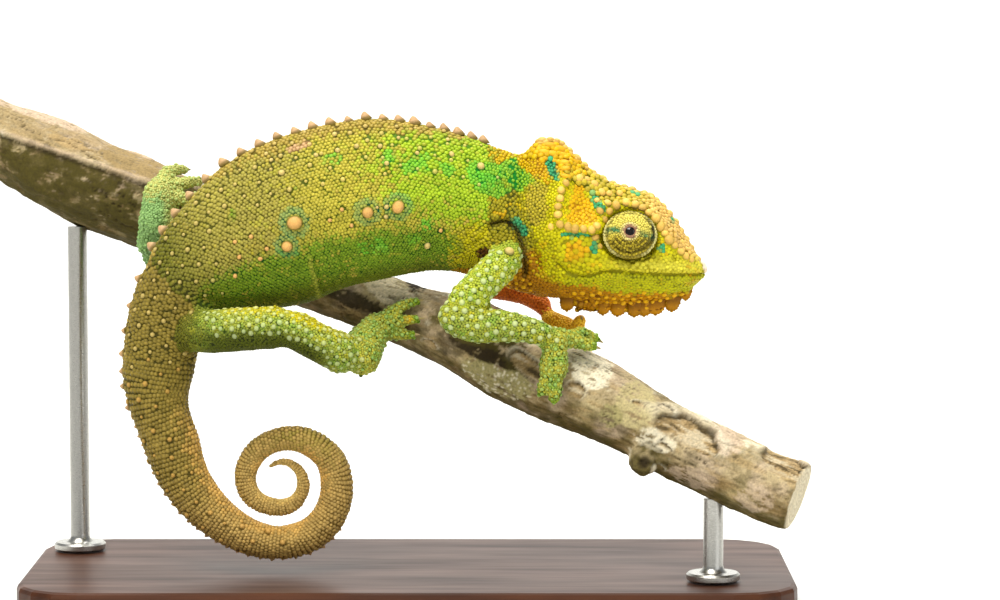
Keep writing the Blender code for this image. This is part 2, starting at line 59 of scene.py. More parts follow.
HEAD_NODES = ("head", "lower_jaw")
COIL_NODES = ("tail_coil_outer", "tail_coil_inner", "tail_tip")
TAIL_NODES = ("tail_base", "tail_middle", *COIL_NODES)
LEGS = ("foreleg_right", "foreleg_left", "hindleg_right", "hindleg_left")
LIMB_NODES = tuple(f"{leg}_{part}" for leg in LEGS for part in ("upper", "lower"))
FOOT_NODES = tuple(f"{leg}_foot" for leg in LEGS)
FLESH = (*HEAD_NODES, "neck", "trunk", *TAIL_NODES, *LIMB_NODES, *FOOT_NODES)

CLOSE_UP = 0.36  # how far a flesh solid swells to meet its neighbour
FACES_ALONG = 0.3  # a coil's end faces the next coil at least this much
ANKLE_REACH = (1.4, 2.8)  # a foot swells fully this near its leg's points, and not at all this far
SKIN_VOXEL = 0.33
SOLID_CLAW, CLAW_END_SIZE = 0.72, 0.24  # a solid's claw: its length, and the breadth of its end
COAT_DEPTH = 0.30  # the skin lies this part of a granule's width inside the solids

# The line down the middle of the body, snout first: x, z, half height there.
BODY_AXIS = (
    (44.7, 50.2, 0.7),
    (42.0, 51.4, 4.1),
    (39.4, 52.7, 6.5),
    (33.0, 54.1, 8.7),
    (25.9, 56.2, 10.5),
    (19.9, 58.0, 11.9),
    (13.0, 58.6, 10.6),
    (2.4, 61.2, 11.2),
    (-10.9, 59.9, 12.5),
    (-23.3, 56.0, 11.3),
    (-29.6, 52.4, 8.5),
    (-34.1, 47.8, 6.8),
    (-36.5, 41.7, 6.1),
    (-37.5, 35.8, 5.6),
    (-37.9, 31.1, 5.0),
)
# The tail winds in round this centre: angle from +X in degrees, distance, half thickness.
COIL_CENTRE = (-18.9, 18.1)
COIL_AXIS = (
    (158, 18.3, 4.50),
    (176, 15.0, 3.95),
    (198, 12.1, 3.50),
    (227, 10.0, 3.00),
    (259, 9.15, 2.72),
    (293, 8.90, 2.68),
    (355, 8.20, 2.60),
    (386, 8.00, 2.40),
    (418, 7.45, 2.12),
    (490, 6.30, 1.88),
    (530, 5.80, 1.78),
    (569, 5.00, 1.62),
    (623, 3.75, 1.43),
    (675, 3.40, 1.28),
    (723, 3.15, 1.08),
    (769, 3.20, 0.82),
    (807, 3.32, 0.62),
    (834, 3.28, 0.48),
    (855, 3.18, 0.36),
)
RINGS_START_Z = 36.5  # below this the tail's scales stand in rings
# The upper edge of the near hind leg: x, z.
THIGH_TOP = ((-36, 43.6), (-30, 45.0), (-24, 45.6), (-18, 45.6), (-13, 43.2), (-8, 41.8), (-2, 44.6))

# ---------------------------------------------------------------------------------------
# Colours, as sRGB of 0 to 255. The first of a pair is a granule's own, the second is that of
# the skin in the grooves round it, mostly darker: the skin's own colour with painted shade of the grooves.

PAINTS = {
    "rear": ((160, 148, 64), (78, 78, 14)),
    "pelvis": ((98, 98, 20), (54, 54, 2)),
    "middle": ((186, 171, 58), (84, 98, 8)),
    "front": ((158, 182, 32), (76, 120, 4)),
    "lower": ((114, 140, 28), (28, 78, 4)),
    "belly": ((94, 98, 8), (42, 48, 0)),
    "back": ((168, 144, 62), (94, 80, 14)),
    "emerald": ((86, 182, 44), (10, 116, 30)),
    "teal": ((60, 150, 96), (8, 92, 60)),
    "nape": ((194, 162, 0), (150, 104, 0)),
    "neck": ((152, 140, 22), (74, 76, 4)),
    "patch": ((172, 146, 50), (88, 86, 14)),
    "chest": ((188, 176, 12), (100, 98, 2)),
    "cheek": ((192, 184, 4), (150, 142, 0)),
    "lip": ((212, 202, 60), (176, 164, 30)),
    "jaw": ((176, 174, 12), (120, 122, 2)),
    "orange": ((206, 160, 8), (176, 126, 2)),
    "throat": ((172, 118, 6), (126, 78, 0)),
    "lobe": ((184, 124, 2), (122, 74, 0)),
    "crown": ((178, 158, 42), (98, 102, 4)),
    "casque": ((200, 158, 2), (150, 104, 0)),
    "snout": ((208, 168, 88), (158, 122, 20)),
    "snout_tip": ((226, 206, 178), (190, 150, 96)),
    "limb": ((156, 166, 62), (60, 76, 4)),
    "limb_top": ((184, 170, 6), (128, 124, 0)),
    "limb_green": ((112, 154, 54), (44, 86, 8)),
    "arm": ((178, 188, 58), (84, 98, 6)),
    "limb_under": ((76, 84, 6), (36, 44, 0)),
    "far_foot": ((186, 186, 104), (136, 140, 62)),
    # The far arm and hand: their own reddish and golden colours, painted brighter to make up for the
    # throat's shadow: partly painted light.
    "far_arm": ((230, 132, 50), (190, 94, 30)),
    "far_hand": ((244, 196, 50), (206, 144, 16)),
    "far_foot_low": ((136, 172, 104), (88, 122, 60)),
    "toe": ((178, 172, 60), (112, 110, 12)),
    "toe_tip": ((132, 158, 34), (84, 112, 10)),
    "tail": ((182, 150, 84), (122, 98, 40)),
    "tail_upper": ((134, 114, 46), (74, 66, 14)),
    "tail_inner": ((206, 162, 84), (160, 120, 50)),
    "cream": ((200, 172, 98), (166, 130, 64)),
    "scar": ((190, 152, 106), (140, 104, 62)),
    # dark brown of painted shade in a hollow of the skin
    "hollow": ((92, 56, 14), (48, 26, 4)),
    "fold": ((170, 172, 60), (110, 116, 24)),
    # dark inside the deepest folds: painted shade
    "crease": ((74, 64, 10), (40, 32, 2)),
}
PALE_BOSS = (180, 192, 140)
TOE_BOSS = (142, 180, 104)
TAN_BOSS = (196, 172, 102)
GOLD_BOSS = (216, 174, 84)
CASQUE_BOSS = (214, 160, 28)
PROFILE_BOSS = (222, 182, 98)
ORANGE_BOSS = (212, 162, 92)
SPINE_BOSS = (186, 150, 106)
TAIL_BOSS = (194, 146, 72)
THROAT_BOSS = (226, 174, 16)
CLAW = (150, 140, 84)


def linear(colour):
    """Linear light from sRGB of 0 to 255."""
    value = np.asarray(colour, float) / 255
    return np.where(value <= 0.04045, value / 12.92, ((value + 0.055) / 1.055) ** 2.4)


def rgba(colour):
    return (*linear(colour), 1.0)


# ---------------------------------------------------------------------------------------
# Materials

SPECULAR = 0.16


class Finish:
    """A node material, and short ways to add to it."""

    def __init__(self, name, roughness, **settings):
        self.material = bpy.data.materials.new(name)
        self.material.use_nodes = True
        self.tree = self.material.node_tree
        self.shader = self.tree.nodes["Principled BSDF"]
        self.shader.inputs["Roughness"].default_value = roughness
        self.shader.inputs["Specular IOR Level"].default_value = SPECULAR
        for socket, value in settings.items():
            self.shader.inputs[socket.replace("_", " ")].default_value = value
        self.place = self.add("ShaderNodeTexCoord").outputs["Object"]

    def add(self, kind, inputs=(), **settings):
        node = self.tree.nodes.new(kind)
        for key, value in settings.items():
            setattr(node, key, value)
        for socket, value in dict(inputs).items():
            if isinstance(value, bpy.types.NodeSocket):
                self.tree.links.new(value, node.inputs[socket])
            else:
                node.inputs[socket].default_value = value
        return node

    def noise(self, size, detail=3.0, place=None):
        """Noise whose lumps are size millimetres wide."""
        inputs = {"Vector": place or self.place, "Scale": 1 / (size * MM), "Detail": detail}
        return self.add("ShaderNodeTexNoise", inputs).outputs["Fac"]

    def spread(self, value, low, high):
        """0.3 to 0.7 becomes low to high."""
        inputs = {"Value": value, "From Min": 0.3, "From Max": 0.7, "To Min": low, "To Max": high}
        return self.add("ShaderNodeMapRange", inputs).outputs["Result"]

    def colour(self, value):
        self.tree.links.new(value, self.shader.inputs["Base Color"])

    def roughness(self, value):
        self.tree.links.new(value, self.shader.inputs["Roughness"])

    def bump(self, height, depth):
        inputs = {"Height": height, "Distance": depth * MM, "Strength": 1.0}
        made = self.add("ShaderNodeBump", inputs).outputs["Normal"]
        self.tree.links.new(made, self.shader.inputs["Normal"])

    def between(self, share, first, second):
        """A blend of two colours of 0 to 255."""
        inputs = {"Factor": share, "A": rgba(first), "B": rgba(second)}
        mix = self.add("ShaderNodeMix", data_type="RGBA")
        for socket, value in inputs.items():
            found = [s for s in mix.inputs if s.name == socket and s.enabled][0]
            if isinstance(value, bpy.types.NodeSocket):
                self.tree.links.new(value, found)
            else:
                found.default_value = value
        return [s for s in mix.outputs if s.enabled][0]


def marked_finish(name, roughness, grain, contrast, depth, **settings):
    """A finish whose colour is the mesh's own markings, broken up by noise of grain mm."""
    finish = Finish(name, roughness, **settings)
    marks = finish.add("ShaderNodeAttribute", attribute_name="markings").outputs["Color"]
    noise = finish.noise(grain)
    shade = finish.spread(noise, 1 - contrast, 1 + contrast)
    finish.colour(
        finish.add("ShaderNodeVectorMath", {"Vector": marks, "Scale": shade}, operation="SCALE").outputs[0]
    )
    finish.roughness(finish.spread(noise, roughness - 0.08, roughness + 0.08))
    finish.bump(finish.noise(grain / 2), depth)
    return finish.material


def plain_finish(name, roughness, first, second, grain, depth, stretch=(1, 1, 1), **settings):
    """A finish of two colours of 0 to 255 in noise of grain mm, drawn out along an axis."""
    finish = Finish(name, roughness, **settings)
    mapped = finish.add("ShaderNodeMapping", {"Vector": finish.place, "Scale": stretch})
    noise = finish.noise(grain, 4.0, mapped.outputs["Vector"])
    finish.colour(finish.between(finish.spread(noise, 0, 1), first, second))
    finish.roughness(finish.spread(noise, roughness - 0.05, roughness + 0.05))
    finish.bump(noise, depth)
    return finish.material


SKIN = marked_finish("skin", 0.55, 0.25, 0.12, 0.04)
SCALE = marked_finish("scales", 0.46, 0.22, 0.10, 0.012)
BARK_FINISH = marked_finish("bark", 0.8, 0.35, 0.2, 0.10)
HORN = plain_finish("horn", 0.35, CLAW, (150, 128, 88), 0.4, 0.01)
EYEBALL = plain_finish("eyeball", 0.12, (8, 6, 5), (22, 14, 8), 0.3, 0.002, Coat_Weight=1.0)
WOOD = plain_finish("stand_wood", 0.42, (84, 48, 28), (52, 28, 16), 3.0, 0.03, (0.12, 1, 1))
METAL = plain_finish(
    "stand_metal", 0.30, (196, 194, 188), (168, 166, 160), 0.5, 0.004, (1, 1, 8), Metallic=1.0
)
FLOOR = plain_finish("floor", 0.75, (226, 226, 222), (220, 220, 217), 90.0, 0.02)


# ---------------------------------------------------------------------------------------
# Meshes and numbers


def arrays_of(mesh):
    """Points in millimetres and triangles of a mesh."""
    points = np.empty(len(mesh.vertices) * 3)
    mesh.vertices.foreach_get("co", points)
    mesh.calc_loop_triangles()
    triangles = np.empty(len(mesh.loop_triangles) * 3, np.int64)
    mesh.loop_triangles.foreach_get("vertices", triangles)
    return points.reshape(-1, 3) / MM, triangles.reshape(-1, 3)


def node_arrays(name):
    """The same of a CAD node, its double points made one."""
    points, triangles = arrays_of(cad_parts[name].data)
    points, index = np.unique(np.round(points, 4), axis=0, return_inverse=True)
    return points, index.reshape(-1)[triangles]


def mesh_object(name, points, triangles, *materials):
    mesh = bpy.data.meshes.new(name)
    mesh.vertices.add(len(points))
    mesh.vertices.foreach_set("co", (points * MM).ravel())
    mesh.loops.add(triangles.size)
    mesh.loops.foreach_set("vertex_index", triangles.ravel().astype(np.int32))
    mesh.polygons.add(len(triangles))
    mesh.polygons.foreach_set("loop_start", np.arange(0, triangles.size, 3, dtype=np.int32))
    mesh.update(calc_edges=True)
    mesh.shade_smooth()
    for material in materials:
        mesh.materials.append(material)
    obj = bpy.data.objects.new(name, mesh)
    bpy.context.scene.collection.objects.link(obj)
    return obj


def set_colours(obj, name, colours):
    """Linear colours at the points of a mesh."""
    layer = obj.data.color_attributes.new(name, "FLOAT_COLOR", "POINT")
    filled = np.ones((len(colours), 4))
    filled[:, :3] = colours
    layer.data.foreach_set("color", filled.ravel())


def unit(vectors):
    length = np.linalg.norm(vectors, axis=-1, keepdims=True)
    return vectors / np.maximum(length, 1e-9)


def point_normals(points, triangles):
    corners = points[triangles]
    across = np.cross(corners[:, 1] - corners[:, 0], corners[:, 2] - corners[:, 0])
    total = np.zeros_like(points)
    for k in range(3):
        for axis in range(3):
            total[:, axis] += np.bincount(triangles[:, k], across[:, axis], len(points))
    return unit(total)


def smoothed(points, triangles, amount, rounds):
    """Each point moves towards the middle of its neighbours, by amount, again and again."""
    ends = np.sort(np.concatenate([triangles[:, :2], triangles[:, 1:], triangles[:, ::2]]), axis=1)
    ends = np.unique(ends, axis=0)
    near, far = np.concatenate([ends, ends[:, ::-1]]).T
    count = np.bincount(near, minlength=len(points))
    for _ in range(rounds):
        total = [np.bincount(near, points[far, axis], len(points)) for axis in range(3)]
        points = points + (np.stack(total, axis=1) / count[:, None] - points) * amount[:, None]
    return points


def remeshed(name, points, triangles, voxel):
    """One closed surface round overlapping closed bodies."""
    obj = mesh_object(name, points, triangles)
    modifier = obj.modifiers.new("remesh", "REMESH")
    modifier.mode = "VOXEL"
    modifier.voxel_size = voxel * MM
    graph = bpy.context.evaluated_depsgraph_get()
    mesh = bpy.data.meshes.new_from_object(obj.evaluated_get(graph))
    bpy.data.objects.remove(obj, do_unlink=True)
    made = arrays_of(mesh)
    bpy.data.meshes.remove(mesh)
    return made


def tree_of(points, triangles):
    return BVHTree.FromPolygons(points.tolist(), triangles.tolist())


def point_tree(points):
    tree = kdtree.KDTree(len(points))
    for i, point in enumerate(points.tolist()):
        tree.insert(point, i)
    tree.balance()
    return tree


def grid_triangles(rows, sides, start=0):
    """Triangles between rows of points, each row a closed ring of as many sides."""
    triangles = []
    for row in range(rows - 1):
        for k in range(sides):
            a = start + row * sides + k
            b = start + row * sides + (k + 1) % sides
            triangles += [(a, b, b + sides), (a, b + sides, a + sides)]
    return triangles


def ramp(values, low, high):
    """0 below low, 1 above high, and a smooth rise between."""
    share = np.clip((np.asarray(values, float) - low) / (high - low), 0, 1)
    return share * share * (3 - 2 * share)


def bell(values, middle, width):
    """1 where the values are at the middle, and near 0 two widths away."""
    return np.exp(-(((values - middle) / width) ** 2))


def blend(first, second, share):
    """first where share is 0, second where it is 1."""
    return first * (1 - share) + second * share


def clouds(points, size, seed=0.0, octaves=2):
    """Smooth noise of about -1 to 1 whose lumps are size millimetres wide."""
    places = points / size + seed * 17.3
    return np.array([noise.fractal(Vector(p), 0.6, 2.1, octaves) for p in places])


def smooth_line(keys, per_key):
    """The keys' numbers on a Catmull-Rom curve, per_key steps from each to the next."""
    keys = np.array(keys, float)
    padded = np.concatenate([keys[:1], keys, keys[-1:]])
    rows = []
    for i in range(len(keys) - 1):
        a, b, c, d = padded[i : i + 4]
        for t in np.arange(per_key) / per_key:
            rows.append(
                b + t * (c - a) / 2 + t**2 * (a - 2.5 * b + 2 * c - d / 2)
                + t**3 * (1.5 * b - a / 2 - 1.5 * c + d / 2)
            )
    return np.array([*rows, keys[-1]])


def distance_to_line(points, line):
    """How far each point, seen from the side, is from a line of (x, z) corners."""
    flat, line = points[:, ::2], np.array(line, float)
    best = np.full(len(flat), np.inf)
    for a, b in zip(line, line[1:]):
        share = np.clip((flat - a) @ (b - a) / ((b - a) @ (b - a)), 0, 1)
        gap = np.linalg.norm(flat - a - share[:, None] * (b - a), axis=1)
        best = np.minimum(best, gap)
    return best


def near_line(points, line, width):
    """1 on a line seen from the side, and near 0 two widths from it."""
    return bell(distance_to_line(points, line), 0, width)


def level_of(line, x):
    """The height at x of a line of (x, z) corners."""
    return np.interp(x, *np.array(line).T)


def in_ellipse(points, x, z, long, tall, slope):
    """Each point's place along and over an ellipse seen from the side, in half lengths of it."""
    turn = math.radians(slope)
    across, rise = points[:, 0] - x, points[:, 2] - z
    along = (across * math.cos(turn) + rise * math.sin(turn)) / long
    over = (rise * math.cos(turn) - across * math.sin(turn)) / tall
    return along, over


# ---------------------------------------------------------------------------------------
# Places along the body


def body_axis():
    """Points along the middle of the body and tail, with what is needed at each."""
    keys = list(BODY_AXIS)
    for angle, distance, half in COIL_AXIS:
        turn = math.radians(angle)
        x = COIL_CENTRE[0] + distance * math.cos(turn)
        z = COIL_CENTRE[1] + distance * math.sin(turn)
        keys.append((x, z, half))
    line = smooth_line(keys, 10)
    middle = np.stack([line[:, 0], np.zeros(len(line)), line[:, 1]], axis=1)
    ahead = unit(np.gradient(middle, axis=0))
    up = np.stack([ahead[:, 2], np.zeros(len(line)), -ahead[:, 0]], axis=1)
    length = np.linalg.norm(np.diff(middle, axis=0), axis=1)
    run = np.concatenate([[0], np.cumsum(length)])
    return SimpleNamespace(middle=middle, up=up, half=line[:, 2], run=run)


AXIS = body_axis()


def on_axis(place):
    """The middle of the body and the direction to its back, at a distance from the snout."""
    middle, up = (
        np.array([np.interp(place, AXIS.run, line[:, k]) for k in range(3)])
        for line in (AXIS.middle, AXIS.up)
    )
    return middle, up


def off_axis(up, turn):
    """The direction out of the body at an angle from its back."""
    return up * math.cos(turn) + np.array([0, math.sin(turn), 0])


def along_body(points):
    """(distance from the snout, height from -1 at the belly to 1 at the back) of each point."""
    run, height = np.empty(len(points)), np.empty(len(points))
    for start in range(0, len(points), 4000):
        some = slice(start, start + 4000)
        away = points[some, None, ::2] - AXIS.middle[None, :, ::2]
        nearest = (np.linalg.norm(away, axis=2) - AXIS.half).argmin(axis=1)
        rise = np.einsum("ij,ij->i", points[some] - AXIS.middle[nearest], AXIS.up[nearest])
        run[some] = AXIS.run[nearest]
        height[some] = rise / AXIS.half[nearest]
    return run, np.clip(height, -1.2, 1.2)


# ---------------------------------------------------------------------------------------
# Skin

# Folds and ridges: side view line, height (below 0 for a groove), half width. Both sides
# have those of the head, and only the right side has the others.
HEAD_FORMS = (
    (((28.8, 59.9), (31.2, 60.3), (33.8, 60.3), (35.9, 59.3), (37.7, 57.5), (39.2, 55.6)), 0.55, 0.7),
    (((39.2, 55.6), (40.4, 54.1), (42.2, 52.4), (43.6, 51.4)), 0.4, 0.7),
    (
        ((29.0, 57.0), (26.4, 56.6), (24.0, 57.2), (22.6, 58.8), (22.6, 61.5), (23.4, 64.0), (23.7, 66.6)),
        0.6, 0.8,
    ),
    (((28.8, 60.0), (27.2, 62.6), (25.0, 64.2)), 0.35, 0.8),
    (((17.4, 68.2), (17.2, 65.0), (17.0, 61.0), (17.6, 57.4), (18.6, 54.0), (20.0, 50.6)), -0.55, 0.7),
    (((19.6, 67.6), (19.6, 63.0), (19.9, 58.0), (21.0, 54.0)), 0.25, 1.2),
    (((28.2, 56.0), (26.0, 56.0), (24.2, 56.2)), -0.3, 0.4),
    (((45.4, 50.45), (42.0, 50.55), (38.0, 50.75), (34.0, 51.0), (31.0, 51.3), (28.4, 51.0)), 0.14, 0.4),
    (((45.4, 49.2), (42.0, 49.15), (38.0, 49.3), (34.0, 49.5), (31.0, 49.8), (28.4, 49.4)), 0.16, 0.45),
    (((24.0, 49.2), (26.0, 48.4), (29.0, 48.2), (33.0, 48.0)), -0.12, 0.4),
)
MOUTH_LINE = (
    (46.0, 49.8), (42.3, 49.85), (37.8, 50.0), (34.8, 50.2), (31.0, 50.5), (28.8, 50.3),
    (27.3, 49.8), (25.8, 49.6), (24.4, 50.0), (23.2, 50.7), (22.4, 51.6),
)
MOUTH_DEPTH, MOUTH_WIDTH = 0.42, 0.24
HEAD_HOLLOWS = (  # x, z, radius, depth
    (26.0, 60.0, 2.4, 0.5),
    (36.8, 52.6, 2.2, 0.25),
    (28.6, 52.6, 2.4, 0.2),
)
NOSTRIL, NOSTRIL_RADIUS, NOSTRIL_DEPTH = (39.9, 52.2), 0.42, 0.5
RIGHT_FOLDS = (
    (((-13.9, 52.2), (-13.3, 49.4), (-12.8, 46.6)), -0.28, 0.35),
    (((-14.5, 52.2), (-13.9, 49.4), (-13.4, 46.6)), 0.2, 0.3),
    (((-10.5, 53.0), (-9.4, 50.0), (-8.7, 47.0)), -0.24, 0.35),
    (((-6.9, 56.0), (-6.2, 53.0), (-5.2, 49.6)), -0.14, 0.35),
    (((12.6, 57.6), (14.8, 58.0), (16.2, 56.8), (17.3, 53.8), (17.6, 50.0)), -0.75, 0.5),
    (((10.0, 54.4), (12.0, 56.8), (14.6, 58.2)), -0.2, 0.4),
    (((8.6, 55.6), (11.0, 58.2), (14.0, 59.8)), -0.15, 0.4),
    (((-9.6, 40.8), (-8.4, 38.0), (-8.2, 35.0)), -0.2, 0.3),
    (((-8.0, 41.0), (-7.0, 38.2), (-6.6, 35.2)), -0.2, 0.3),
    (((-6.4, 41.6), (-5.4, 39.0), (-4.6, 36.4)), -0.2, 0.3),
    (((9.4, 46.2), (11.0, 45.4), (12.6, 45.6)), -0.3, 0.35),
    (((20.4, 44.0), (20.6, 41.6), (20.4, 39.4)), -0.2, 0.3),
    (((21.4, 43.6), (21.8, 41.0), (21.4, 38.8)), -0.15, 0.3),
    (((-30.6, 46.4), (-28.0, 45.8), (-24.0, 45.9), (-19.0, 45.8)), -0.35, 0.5),
)
SHADED_FOLD_DEPTH = -0.6  # a groove deeper than this is painted dark inside: painted shade
SMOOTH_ROUNDS, AMOUNT_ROUNDS, DEPTH_ROUNDS = 60, 10, 24
SMOOTHING = {"body": 0.5, "head": 0.16, "tail": 0.18, "limb": 0.26, "foot": 0.06}
LOBE_SMOOTHING, LOBES_BELOW_Z = 0.03, 46.6
SNOUT_SMOOTHING, SNOUT_AHEAD_X = 0.05, 42.5


def tailward(points):
    """The direction along the body at each point, from the snout towards the tail."""
    run, _ = along_body(points)
    slope = np.gradient(AXIS.middle, axis=0)
    return unit(np.stack([np.interp(run, AXIS.run, slope[:, k]) for k in range(3)], axis=1))


def evened(values, triangles, rounds):
    """The values, each evened with its neighbours' again and again."""
    many = values[:, None].repeat(3, axis=1)
    return smoothed(many, triangles, np.full(len(values), 0.5), rounds)[:, 0]


def by_ankle(points):
    """1 where a foot meets its leg, and 0 along its toes."""
    ankles = np.concatenate([node_arrays(f"{leg}_lower")[0] for leg in LEGS])
    tree = point_tree(ankles)
    return 1 - ramp([tree.find(point)[2] for point in points.tolist()], *ANKLE_REACH)


def swelling(name, points, triangles):
    """How each point of a solid moves to meet its neighbours. A coil of the tail grows only
    at its ends, so that it stays clear of the next turn, and a foot only at its ankle."""
    outward = point_normals(points, triangles)
    if name in FOOT_NODES:
        return CLOSE_UP * outward * by_ankle(points)[:, None]
    if name not in COIL_NODES:
        return CLOSE_UP * outward
    ahead = tailward(points)
    share = np.einsum("ij,ij->i", outward, ahead)
    return CLOSE_UP * ahead * (np.sign(share) * (np.abs(share) > FACES_ALONG))[:, None]


def without_claws(name, points):
    """The points of a foot, those of its claws' ends drawn back onto the toes' round ends."""
    for tip, direction in small_ends(name, CLAW_END_SIZE):
        back = (tip - points) @ direction
        off = np.linalg.norm(points - tip + back[:, None] * direction, axis=1)
        on_claw = (off < CLAW_END_SIZE) & (np.abs(back) < CLAW_END_SIZE)
        points[on_claw] -= direction * SOLID_CLAW
    return points


def flesh_solid():
    """The swollen flesh solids together, and which of FLESH each triangle is of."""
    all_points, all_triangles, owners = [], [], []
    count = 0
    for k, name in enumerate(FLESH):
        points, triangles = node_arrays(name)
        if name in FOOT_NODES:
            points = without_claws(name, points)
        all_points.append(points + swelling(name, points, triangles))
        all_triangles.append(triangles + count)
        owners.append(np.full(len(triangles), k))
        count += len(points)
    return np.concatenate(all_points), np.concatenate(all_triangles), np.concatenate(owners)


def is_of(owner, names):
    return np.isin(owner, [FLESH.index(name) for name in names])


# The lower edge of the big scales on top of the head: x, z.
CROWN_EDGE = (
    (17.0, 67.2), (22.4, 66.4), (24.0, 64.2), (27.0, 62.4), (30.0, 60.4), (34.0, 60.2),
    (37.0, 58.4), (39.0, 55.4), (41.0, 53.3), (43.0, 51.9), (45.0, 51.2),
)


def is_crown(points, owner):
    """The top of the head, from the casque to the snout."""
    x, _, z = points.T
    return is_of(owner, ("head",)) & (x > CROWN_EDGE[0][0]) & (z > level_of(CROWN_EDGE, x))


# Widths of granules in millimetres. A word with more_ in front is what is added there.
GRANULE_WIDTH = {
    "belly": 0.41, "more_flank": 0.12, "more_back": 0.11, "more_rear": 0.04,
    "head": 0.52, "crown": 0.92, "jaw": 0.50, "more_throat": 0.34,
    "neck": 0.54, "more_under_neck": 0.24, "limb": 0.47, "foot": 0.42,
}
CROWN_TAPER = 0.016  # how much narrower the crown's are for each millimetre ahead of CROWN_TAPER_X
CROWN_TAPER_X = 30
# Where the head's are wider: x, z, reach along, reach up, how much wider.
WIDE_GRANULES = (
    (33, 51.6, 5.0, 1.1, 0.20),
    (26, 53.6, 3.2, 2.6, 0.44),
    (26, 59.6, 2.6, 2.6, 0.10),
)


def tail_granule(half):
    """The width of the granules of the tail where it is half of this thick."""
    return np.clip(0.40 + 0.075 * half, 0.30, 0.72)


def granule(points, owner):
    """The width of the granules at each point."""
    run, height = along_body(points)
    x, _, z = points.T
    sizes = GRANULE_WIDTH
    width = sizes["belly"] + sizes["more_flank"] * ramp(height, -0.8, -0.1)
    width = width + sizes["more_back"] * ramp(height, 0.5, 1.0) + sizes["more_rear"] * ramp(-x, 12, 32)
    head = np.full(len(points), sizes["head"])
    for at_x, at_z, long, tall, wider in WIDE_GRANULES:
        head += wider * np.exp(-(((x - at_x) / long) ** 2) - ((z - at_z) / tall) ** 2)
    crown = sizes["crown"] - CROWN_TAPER * np.maximum(x - CROWN_TAPER_X, 0)
    places = (
        ("head", np.where(is_crown(points, owner), crown, head)),
        ("lower_jaw", sizes["jaw"] + sizes["more_throat"] * ramp(-z, -48.4, -46.0)),
        ("neck", sizes["neck"] + sizes["more_under_neck"] * ramp(54 - z, 0, 4)),
    )
    for name, there in places:
        width = np.where(is_of(owner, (name,)), there, width)
    tail = tail_granule(np.interp(run, AXIS.run, AXIS.half))
    width = np.where(is_of(owner, TAIL_NODES), tail, width)
    width = np.where(is_of(owner, LIMB_NODES), sizes["limb"], width)
    return np.where(is_of(owner, FOOT_NODES), sizes["foot"], width)


def shape_forms(points, normals, owner):
    """How far each point of the skin moves out for the folds, ridges and hollows."""
    move = np.zeros(len(points))
    head = is_of(owner, (*HEAD_NODES, "neck"))
    off_middle = ramp(np.abs(points[:, 1]), 0.6, 2.0)
    for line, height, width in HEAD_FORMS:
        move += head * off_middle * height * near_line(points, line, width)
    for x, z, radius, depth in HEAD_HOLLOWS:
        away = np.hypot(points[:, 0] - x, points[:, 2] - z)
        move -= head * off_middle * depth * np.exp(-((away / radius) ** 2) * 1.5)
    move -= head * MOUTH_DEPTH * near_line(points, MOUTH_LINE, MOUTH_WIDTH)
    away = np.hypot(points[:, 0] - NOSTRIL[0], points[:, 2] - NOSTRIL[1])
    move -= head * off_middle * NOSTRIL_DEPTH * bell(away, 0, NOSTRIL_RADIUS)
    right = ramp(-points[:, 1], 1.0, 3.0)
    for line, height, width in RIGHT_FOLDS:
        near = near_line(points, line, width)
        move += right * ramp(-normals[:, 1], 0.0, 0.4) * height * near
    return move


def make_skin():
    """One surface round all the flesh, a coat's depth inside the solids."""
    solid, faces, owners = flesh_solid()
    points, triangles = remeshed("skin_solid", solid, faces, SKIN_VOXEL)
    tree = tree_of(solid, faces)
    owner = owners[[tree.find_nearest(p)[2] for p in points.tolist()]]
    amount = np.full(len(points), SMOOTHING["body"])
    head = is_of(owner, HEAD_NODES)
    kinds = {"head": HEAD_NODES, "tail": TAIL_NODES, "limb": LIMB_NODES, "foot": FOOT_NODES}
    for kind, names in kinds.items():
        amount[is_of(owner, names)] = SMOOTHING[kind]
    amount[head & (points[:, 2] < LOBES_BELOW_Z)] = LOBE_SMOOTHING
    amount[head & (points[:, 0] > SNOUT_AHEAD_X)] = SNOUT_SMOOTHING
    points = smoothed(points, triangles, evened(amount, triangles, AMOUNT_ROUNDS), SMOOTH_ROUNDS)
    normals = point_normals(points, triangles)
    nearest = np.array([tree.find_nearest(p)[0] for p in points.tolist()])
    sunk = np.einsum("ij,ij->i", nearest - points, normals)
    swell = np.where(is_of(owner, COIL_NODES), 0.0, CLOSE_UP)
    foot = is_of(owner, FOOT_NODES)
    swell[foot] *= by_ankle(points[foot])
    depth = evened(swell - sunk, triangles, DEPTH_ROUNDS) + COAT_DEPTH * granule(points, owner)
    points = points - normals * depth[:, None]
    normals = point_normals(points, triangles)
    points = points + normals * shape_forms(points, normals, owner)[:, None]
    return SimpleNamespace(
        points=points, triangles=triangles, owner=owner, face_owner=owner[triangles[:, 0]],
        tree=tree_of(points, triangles),
    )


# ---------------------------------------------------------------------------------------
# Markings. They depend only on the place on the body, and skin and scales share them.

